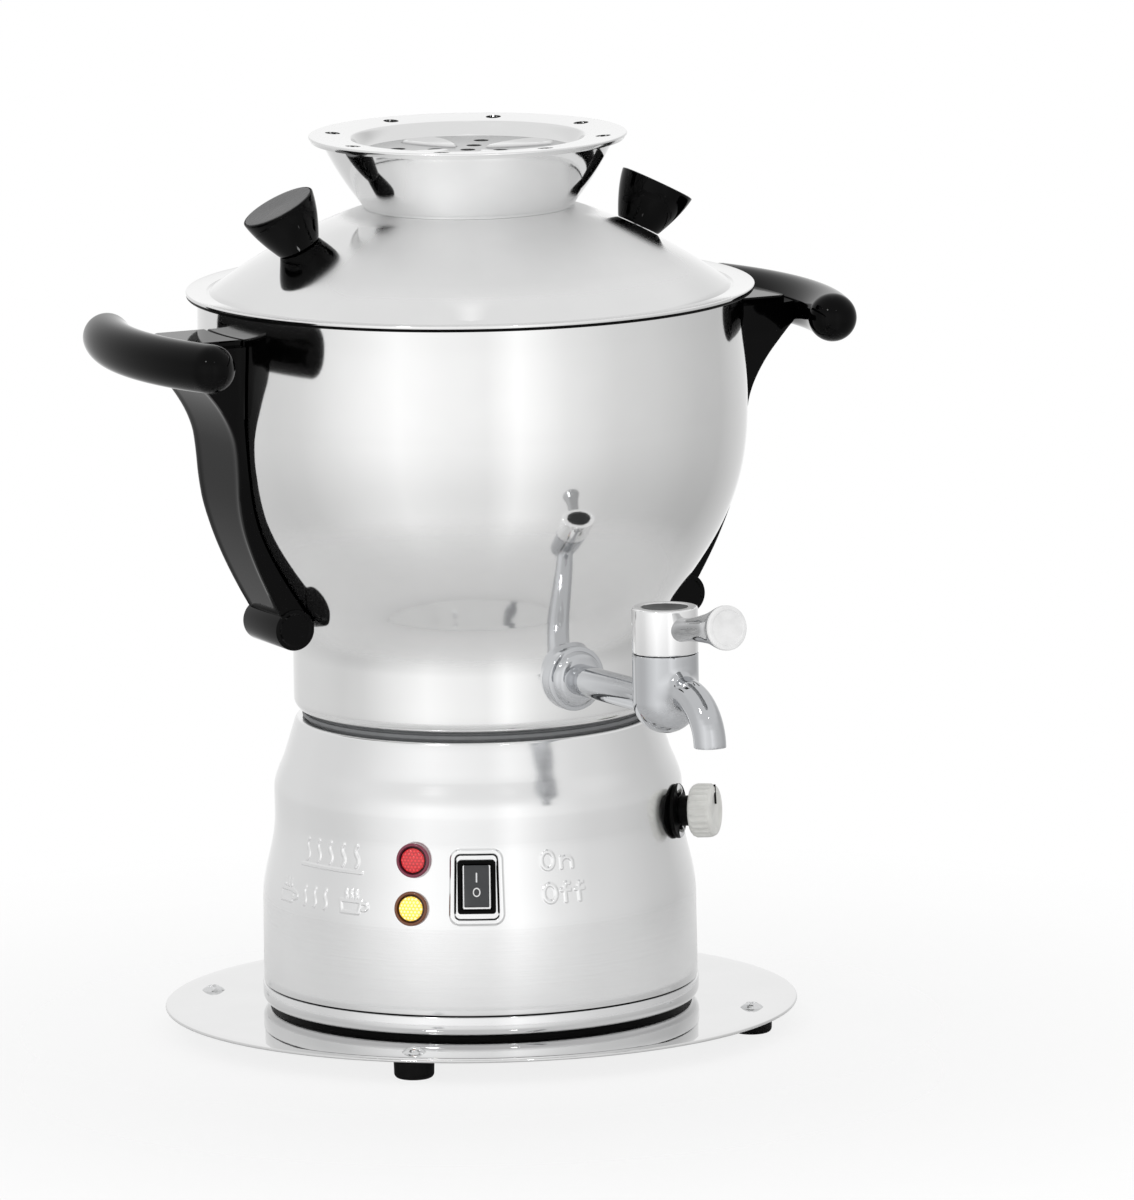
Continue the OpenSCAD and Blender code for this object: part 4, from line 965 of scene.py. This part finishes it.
def lid_knobs():
    reach, foot_r, top_r, h = 70.5, 8.9, 15.0, 18.7
    fall = math.degrees(math.atan2(dome_at(reach - 6) - dome_at(reach + 6), 12))
    tulip = path(
        (0, 0.1), (foot_r - 0.5, 0.1), (foot_r, 0.5),
        ((foot_r + 2.0, 4.5), (top_r - 0.9, h - 7), (top_r, h - 0.8), 26),
        corner(top_r, h - 0.15, 0.4, 6), (top_r - 0.7, h - 0.9), (0, h - 0.9))
    disc = path(
        (0, h - 1.0), (top_r - 0.75, h - 1.0), (top_r - 0.75, h - 0.3),
        corner(top_r - 0.75, h, 0.3, 6), ((top_r - 5, h), (4, h - 0.15), (0, h - 0.2), 12))
    knobs, caps = [], []
    for side in (0, 180):
        at = place(LID_TURN + 90 + side, reach, dome_at(reach), -fall)
        knobs.append(lathe("knob", tulip, at, n=160))
        caps.append(lathe("knob_top", disc, at, n=160))
    dress(joined("knob_cups", knobs), "lid", "black_gloss", "lid_knobs")
    dress(joined("knob_discs", caps), "lid", "knob_cap_grey", "lid_knob_caps")


def petals(x, y):
    """Share of their full height of the four petals pressed in the stand's floor."""
    a = np.arctan2(y, x) - math.radians(STAND_TURN)
    r = np.hypot(x, y)
    a = (a + np.pi / 4) % (np.pi / 2) - np.pi / 4
    u, v = r * np.cos(a), np.abs(r * np.sin(a))
    half = np.interp(u, [8, 11, 16, 22, 28, 34, 37, 38], [0, 2.5, 4.5, 6.5, 8, 8.5, 6, 0])
    return smoothstep((half - v) / 1.2) * smoothstep((u - 8) / 2) * smoothstep((38 - u) / 1.5)


def stand():
    flange_in = stand_top_z - 1.1
    floor_z = flange_in - 5.5
    recess_r, floor_r, t = 46.5, 42.5, 0.8
    skirt, skirt_z = stand_r - 1.1, stand_top_z - 2.4
    outline = path(
        resampled([[0, floor_z], [floor_r - 1, floor_z]], 0.6),
        ((floor_r + 0.8, floor_z), (recess_r - 1.6, flange_in - 2),
         (recess_r - 0.8, flange_in - 0.7), 10),
        ((recess_r - 0.4, flange_in - 0.1), (recess_r, flange_in),
         (recess_r + 0.8, flange_in + 0.03), 6), (stand_r - 1.2, stand_top_z),
        arc((stand_r - 0.5, stand_top_z - 0.5), 0.5, 80, 0, 6), (stand_r, stand_top_z - 0.7),
        (stand_r - 0.3, stand_top_z - 0.9), (skirt, skirt_z), (skirt - t, skirt_z),
        (skirt - t, stand_top_z - 1.6), (recess_r + 1, flange_in - t),
        (recess_r + 0.2, flange_in - 1.2), (floor_r + 0.5, floor_z - t), (0, floor_z - t))
    verts, faces = turned(outline, full_turn(360))
    x, y, z = verts.T
    verts[:, 2] += np.where((np.hypot(x, y) < 39) & (z > floor_z - 0.1),
                            PETAL_RISE * petals(x, y), 0)
    tray = mesh_object("stand_dish", verts, faces, None, 30)
    low, high = floor_z - 3, floor_z + 3
    drilled(tray, ring_of_holes(54.1, STAND_TURN, 45, flange_in - 6, stand_top_z + 3)
            + ring_of_holes(0, 0, 360, low, high)
            + ring_of_holes(13, STAND_TURN + 45, 90, low, high)
            + ring_of_holes(28, STAND_TURN + 45, 90, low, high), 30)
    x, y, z = points_of(tray).T
    # The floor round the petals gets the painted shade; everything else keeps the full colour.
    painted_shade_field = (np.hypot(x, y) < floor_r - 0.5) & (np.abs(z - floor_z) < 1.3)
    marked(tray, "raised", np.where(painted_shade_field, petals(x, y), 1.0))
    dress(tray, "stand", "tray_steel", "stand_tray", slot="stand_steel")

    foot_r, neck_top_r, join = 41.2, stand_r - 4.9, stand_top_z - 1.8
    wall = path(
        (foot_r - 0.6, lid_seat_z), (foot_r - 0.1, lid_seat_z + 0.1), (foot_r, lid_seat_z + 0.6),
        ((foot_r + 6.4, lid_seat_z + 8), (neck_top_r - 4, join - 9), (neck_top_r, join), 36))
    inner = [p for p in moved(wall, -t)[::-1] if p[1] > lid_seat_z + 1]
    cone = lathe("stand_cone", path(wall, (neck_top_r - t, join), inner, (32, lid_seat_z + t),
                                    (32, lid_seat_z)), n=320)
    dress(cone, "stand", "stand_steel", "stand_shell")


# ---------------- handles
def swept_grip(name, side):
    """A round bar bent round the pot, with rounded ends."""
    reach, r, half = 143.3, 9.6, 20.4
    z = heights("right_grip")[0] + r
    cap = np.degrees(r / reach)
    ends = [(half + cap * math.sin(t), r * math.cos(t)) for t in np.radians(np.linspace(8, 90, 12))]
    stations = ([(-a, k) for a, k in ends[::-1]]
                + [(a, r) for a in np.linspace(-half, half, 73)] + ends)
    ring = np.radians(np.arange(0, 360, 5))
    verts = []
    for a, k in stations:
        way = math.radians(a + HANDLE_TURN + side)
        k = max(k, 1e-3)
        for t in ring:
            out = reach + k * math.cos(t)
            verts.append([out * math.cos(way), out * math.sin(way), z + k * math.sin(t)])
    return mesh_object(name, verts, skin(len(stations), len(ring)), None, 0)


def bracket_width(x, z):
    """Half the bracket's width at a place seen from its side."""
    by_z = np.interp(z, [160, 178, 200, 220, 240, 250, 262, 274],
                     [15, 16.7, 18.2, 21, 21.8, 21.6, 21.2, 22])
    by_x = np.interp(x, [108, 122, 128, 133, 137], [21.3, 22, 20.3, 18, 14.5])
    return np.minimum(by_z, by_x)


def bracket(name, side):
    """The handle's arm and leg, lofted between its outer curve and the pot's flank."""
    top = 273.5
    outer = np.array(path((136.5, top), (136.2, top - 0.6), (136.0, 268.5), (135.2, 266.2),
                          (133, 264.9), ((124, 259.5), (114.1, 247), (111.4, 236), 18),
                          ((109.4, 226), (110.5, 216), (108.2, 206), 12),
                          ((105.4, 193), (98.5, 178), (90.5, 164), 16)))
    pot_points = np.array([[pot_r_at(z) + 0.35, z] for z in np.linspace(top, 161, 200)])
    length = np.r_[0, np.cumsum(np.linalg.norm(np.diff(pot_points, axis=0), axis=1))]
    level = np.interp(outer[:, 1], [163, 205, 236, 262, top], [length[-1], 78, 42, 16, 0])
    inner = np.stack([np.interp(level, length, line) for line in pot_points.T], 1)
    across = np.linspace(-1, 1, 25)
    depths = np.linspace(0.1, 0.9, 9)
    around = ([(1, k, 0.75 * smoothstep((abs(k) - 0.80) / 0.08) - 0.75) for k in across]
              + [(d, 1, 0) for d in depths[::-1]] + [(0, k, 0) for k in across[::-1]]
              + [(d, -1, 0) for d in depths])
    loop = len(around)
    verts = []
    for (xo, zo), (xi, zi) in zip(outer, inner):
        deep = math.hypot(xo - xi, zo - zi)
        ux, uz = (xo - xi) / deep, (zo - zi) / deep
        edge = 0.35 * min(1.3, 0.42 * deep)
        for out, k, lift in around:
            at_edge = abs(k) == 1 and out in (0, 1)
            d = out * deep + lift * min(1.0, deep / 4.0) + at_edge * edge * (1 - 2 * out)
            x, z = xi + ux * d, zi + uz * d
            w = bracket_width(x, z) * k - at_edge * math.copysign(edge, k)
            hollow = pot_r_at(z) - math.sqrt(max(pot_r_at(z) ** 2 - w ** 2, 0))
            verts.append([x - hollow * (1 - out), w, z])
    turn = spin(HANDLE_TURN + side)
    leg = mesh_object(name, verts, skin(len(outer), loop) + lids(len(outer), loop), turn, 32)
    wide, end = 17.5, 130.8
    plan = [[math.sqrt((rim_r + 0.4) ** 2 - y ** 2), y] for y in np.linspace(-wide, wide, 13)]
    plan += [[end - 3, wide], [end, wide - 3], [end, 3 - wide], [end - 3, -wide]]
    hood = prism("hood", *([[x, y, z] for x, y in plan] for z in (top - 3, top + 2.5)), turn)
    applied(bevelled(hood, 0.7, 40))
    roll_r, wide = 8.2, 16.4
    ends = path(
        (0, 0.5 - wide), (roll_r - 2.2, 0.5 - wide), (roll_r - 1.5, -wide),
        corner(roll_r, -wide, 0.9, 6, False), corner(roll_r, wide, 0.9, 6), (roll_r - 1.5, wide),
        (roll_r - 2.2, wide - 0.5), (0, wide - 0.5))
    roll = lathe("roll", ends, turn @ shift(85.2, 0, 159.3) @ spin(90, "X"), n=128)
    return joined(name, [leg, hood, roll])


def handles():
    for name, side in (("right", 0), ("left", 180)):
        grip = swept_grip(name + "_grip_bar", side)
        dress(grip, "samovar", "black_gloss", name + "_grip")
        arm = bracket(name + "_handle_arm", side)
        dress(arm, "samovar", "black_gloss", name + "_bracket")


# ---------------- tap
def soft_union(a, b, k):
    """The nearer of two distances, blended over a width."""
    h = np.clip(0.5 + 0.5 * (b - a) / k, 0, 1)
    return b * (1 - h) + a * h - k * h * (1 - h)


def spout_line():
    """Centre line of the spout, from inside the body to its mouth."""
    bend_y, bend_z = SPOUT_Y + SPOUT_BEND, SPOUT_Z - SPOUT_BEND
    t = np.radians(np.arange(6, 91, 6))
    bend = np.c_[0 * t, bend_y - SPOUT_BEND * np.sin(t), bend_z + SPOUT_BEND * np.cos(t)]
    return np.vstack([[0, -tap_reach, SPOUT_Z], [0, bend_y, SPOUT_Z], bend])


def tap_distance(p):
    """Signed distance to the tap's cast body: neck, barrel and spout with soft joints."""
    neck = line_distance(p, [(0, -60, tap_z), (0, -tap_reach, tap_z)]) - NECK_R
    side = np.hypot(p[:, 0], p[:, 1] + tap_reach) - BARREL_R
    ball = np.linalg.norm(p - np.array([0, -tap_reach, BALL_Z]), axis=1) - BARREL_R
    barrel = np.where(p[:, 2] < BALL_Z, ball, np.maximum(side, p[:, 2] - TAP_TOP))
    line = spout_line()
    spout = np.maximum(line_distance(p, line) - SPOUT_R, line[-1][2] - p[:, 2])
    return soft_union(soft_union(barrel, neck, 3.0), spout, 4.0)


def tube(points, r):
    """A round bar along a line in the YZ plane."""
    points, n = np.asarray(points, float), 48
    way = np.gradient(points, axis=0)
    way /= np.linalg.norm(way, axis=1)[:, None]
    side = np.array([1.0, 0, 0])
    verts = [p + r * (math.cos(t) * side + math.sin(t) * np.cross(w, side))
             for p, w in zip(points, way) for t in full_turn(n)]
    return mesh_object("part", verts, skin(len(points), n) + lids(len(points), n))


def tap_body():
    """The cast body: rough tubes remeshed, then drawn onto the smooth distance surface."""
    line, neck_end = spout_line(), -76
    barrel = path(
        (0, BALL_Z - BARREL_R), arc((0, BALL_Z), BARREL_R, -88, 0, 16), (BARREL_R, TAP_TOP),
        (0, TAP_TOP))
    parts = [tube([[0, y, tap_z] for y in (neck_end, -100, -tap_reach)], NECK_R),
             tube(line, SPOUT_R), lathe("part", barrel, TAP_AXIS, n=96)]
    body = joined("tap_casting", parts)
    remesh = body.modifiers.new("remesh", "REMESH")
    remesh.mode = "VOXEL"
    remesh.voxel_size = 0.55 * MM
    applied(body)
    p, edge = points_of(body), 0.6
    end = line[-1]
    flat = (p[:, 2] > TAP_TOP - edge) | (p[:, 1] > neck_end - edge)
    mouth = (np.abs(p[:, 2] - end[2]) < edge) & (p[:, 1] < SPOUT_Y + 9)
    step = 0.05
    for _ in range(6):
        grad = np.stack([(tap_distance(p + step * e) - tap_distance(p - step * e)) / (2 * step)
                         for e in np.eye(3)], 1)
        move = tap_distance(p)[:, None] * grad / np.maximum((grad ** 2).sum(1), 0.2)[:, None]
        move[flat | mouth] = 0
        p = p - np.clip(move, -0.5, 0.5)
    body.data.vertices.foreach_set("co", (p * MM).ravel())
    drilled(body, [(0, end[1], end[2] - 2, end[2] + 9, 4.3)], 50)
    dress(body, "samovar", "tap_chrome", "tap_body")

    rosette = path(
        (NECK_R, -0.2), (12.0, -0.2), (12.0, -3.6), (12.7, -3.6), (12.7, 0.8),
        arc((11.9, 0.8), 0.8, 0, 70, 6), (11.0, 1.75), ((10.2, 3.6), (8.6, 4.4), (6.6, 4.6), 12),
        (NECK_R, 4.6))
    at = place(0, pot_foot_r + 2.6, tap_z) @ OUTWARDS
    dress(lathe("tap_collar", rosette, at, n=160), "samovar", "tap_chrome", "tap_rosette")


def tap_handle():
    r, low, high = BARREL_R, TAP_TOP + 0.3, TAP_TOP + 18.1
    cap = path(
        (0, low), (r - 0.4, low), (r - 0.1, low + 0.3), (r, low + 0.7), (r, high - 0.9),
        corner(r, high, 0.9, 8), (9.5, high), (9.2, high - 0.2), (9.1, high - 0.8),
        (0, high - 0.8))
    disc = path(
        (0, high - 0.9), (8.9, high - 0.9), (8.9, high - 0.35), (8.6, high - 0.2),
        ((6, high - 0.25), (3, high - 0.45), (0, high - 0.5), 8))
    tilt, length, end_r = 9, 46.5, 8.7
    way = TAP_AXIS @ shift(0, 0, TAP_TOP + 8.6) @ spin(90 - tilt, "X")
    lever = path(
        (0, 10.0), (4.9, 10.0), ((4.1, 16.0), (4.6, 26.0), (6.3, 35.0), 20),
        ((7.2, 39.5), (8.3, 42.0), (end_r, length - 1.9), 10), (end_r, length - 1.7),
        (0, length - 1.7))
    tip = path(
        (0, length - 1.6), (end_r, length - 1.6), (end_r, length - 0.8),
        corner(end_r, length, 0.7, 6), (end_r - 1.6, length), (end_r - 1.9, length - 0.3),
        (0, length - 0.3))
    # The sleeve and the lever use lighter and darker copies of the tap's chrome: painted highlight
    # and painted shade.
    for outline, at, n, name, finish, slot, node in (
            (cap, TAP_AXIS, 192, "tap_cap_sleeve", "sleeve_chrome", "tap_chrome", "tap_cap"),
            (disc, TAP_AXIS, 128, "tap_cap_inset", "cap_insert", "cap_insert", "tap_cap_disc"),
            (lever, way, 160, "tap_lever_arm", "lever_chrome", "tap_chrome", "tap_lever"),
            (tip, way, 160, "tap_lever_tip", "lever_white", "lever_white", "lever_end_cap")):
        dress(lathe(name, outline, at, n=n), "tap_handle", finish, node, slot=slot)


# ---------------- CAD nodes that stay
KEPT = {
    "black_matte": ["spacer_ring", "power_inlet"],
    "screw_steel": ["pan_screws", "lamp_clips", "thermostat_shaft", "thermostat_screws",
                    "inlet_screws", "bridge_nuts", "tap_nut", "tap_cap_screw",
                    "bracket_screws", "grip_screws", "lid_knob_screws"],
    "inner_steel": ["clamp_bridge", "pot_studs", "lid_locating_ring", "stand_collar"],
    "ceramic_white": ["lamp_holders", "terminal_block"],
    "bakelite": ["thermostat_body", "thermal_cutout"],
    "brass": ["inlet_pins", "tap_stem"],
    "element_steel": ["heating_element"],
    "aluminium": ["heat_plate"],
    "black_rubber": ["tap_washers"],
}
ROUNDED = {"power_inlet": 0.8, "terminal_block": 0.6, "thermostat_body": 0.4}


def kept_nodes():
    for finish, nodes in KEPT.items():
        for node in nodes:
            obj = frame["nodes"][node]
            painted(obj, finish)
            if node in ROUNDED:
                bevelled(obj, ROUNDED[node], 50)


# ---------------- studio
def camera():
    """A long lens in front of the samovar, a little above it."""
    distance, height = 5.34196, 1.0469
    pan, tilt, roll = 0.0068, 0.1643, -0.0149       # radians
    data = bpy.data.cameras.new("camera")
    data.lens = 411.174
    data.sensor_width = 36
    data.sensor_fit = "AUTO"
    data.clip_start, data.clip_end = 0.1, 60
    scene.camera = linked("camera", data)
    scene.camera.matrix_world = (
        spin(CAMERA_BEARING) @ Matrix.Translation((0, -distance, height))
        @ Matrix.Rotation(-pan, 4, "Z") @ Matrix.Rotation(math.pi / 2 - tilt, 4, "X")
        @ Matrix.Rotation(roll, 4, "Z"))


def grey(level):
    return level, level, level


def floor():
    """A pale round table; its edge fades into the white that the camera sees behind it."""
    outline = [[0, 0], [FLOOR_R, 0], [FLOOR_R, -20], [0, -20]]
    obj = lathe("floor", moved(outline, 0, cad_box[0][2] / MM), n=128)
    f = Finish("floor_paper", grey(0.82), 0.0, 0.9, 0.2)
    f.set("Base Color", f.mixed(f.noise(3.0, 4.0), grey(0.815), grey(0.825)))
    edge = f.between(f.radius(*f.axes(f.place)[:2]), 0.0, 1.0, 0.2 * FLOOR_R * MM,
                     0.9 * FLOOR_R * MM)
    ray = f.node("LightPath").outputs
    mirrored = f.larger(ray["Is Glossy Ray"], ray["Is Transmission Ray"])
    seen = f.larger(f.maths("MULTIPLY", ray["Is Camera Ray"], 0.82),
                    f.maths("MULTIPLY", mirrored, 0.1))
    white = f.node("Emission", {"Color": (*grey(1.0), 1), "Strength": 1.0})
    clear = f.node("BsdfTransparent")
    lit = f.node("MixShader", {0: seen, 1: f.shader.outputs[0], 2: white.outputs[0]})
    faded = f.node("MixShader", {0: edge, 1: lit.outputs[0], 2: clear.outputs[0]})
    f.put(f.tree.nodes["Material Output"], 0, faded.outputs[0])
    obj.data.materials.append(f.material)


def softbox(name, at, size, power):
    """A soft lamp that faces the middle of the samovar."""
    data = bpy.data.lights.new(name, "AREA")
    data.shape = "RECTANGLE"
    data.size, data.size_y = size
    data.energy = power
    obj = linked(name, data)
    obj.location = at
    way = Vector((0, 0, 0.18)) - Vector(at)
    obj.rotation_euler = way.to_track_quat("-Z", "Y").to_euler()


def world():
    """A white backdrop and soft grey walls, with two brighter stretches beside the camera."""
    scene.world = bpy.data.worlds.new("studio")
    scene.world.use_nodes = True
    w = Nodes(scene.world.node_tree)
    to_camera = w.node("Mapping", {
        "Vector": w.node("TexCoord").outputs["Generated"],
        "Rotation": (0, 0, math.radians(-CAMERA_BEARING))})
    x, y, z = w.axes(to_camera.outputs[0])
    bearing = w.maths("ARCTAN2", x, w.maths("MULTIPLY", y, -1.0))
    walls = w.node("ValToRGB", {0: w.between(bearing, 0.0, 1.0, -math.pi, math.pi)})
    stops = walls.color_ramp.elements
    for _ in WALLS[2:]:
        stops.new(0.5)
    for stop, (angle, level) in zip(stops, WALLS):
        stop.position = (angle + 180) / 360
        stop.color = (*grey(level), 1)
    room = walls.outputs[0]
    for level, start, end, blend in ((CEILING, 0.3, 0.6, "MIX"), (GROUND, 0.0, -0.5, "MULTIPLY")):
        part = w.between(z, 0.0, 1.0, start, end, interpolation_type="SMOOTHSTEP")
        room = w.node("Mix", {"Factor": part, 6: room, 7: (*grey(level), 1)},
                      data_type="RGBA", blend_type=blend).outputs["Result"]
    ray = w.node("LightPath").outputs
    backdrop = w.between(w.maths("ABSOLUTE", bearing), 0.0, 1.0, 2.9, 3.1)
    seen = w.larger(w.larger(ray["Is Camera Ray"], ray["Is Transmission Ray"]),
                    w.maths("MULTIPLY", ray["Is Glossy Ray"], backdrop))
    shown = w.node("Mix", {"Factor": seen, "A": room, "B": (*grey(1.0), 1)},
                   data_type="RGBA")
    back = w.tree.nodes["Background"]
    w.put(back, "Color", shown.outputs["Result"])
    w.put(back, "Strength", 1.0)


def studio():
    camera()
    floor()
    world()
    softbox("key", (-2.3, -1.2, 2.6), (0.28, 0.28), 7)
    softbox("fill", (-0.5, -2.6, 2.5), (0.14, 0.14), 1)
    scene.view_settings.view_transform = "Standard"


for make in (studio, drip_plate, feet, trim_pan, heater_shell, lamps, switch, thermostat, seal,
             pot, lid, lid_knobs, stand, handles, tap_body, tap_handle, kept_nodes):
    make()
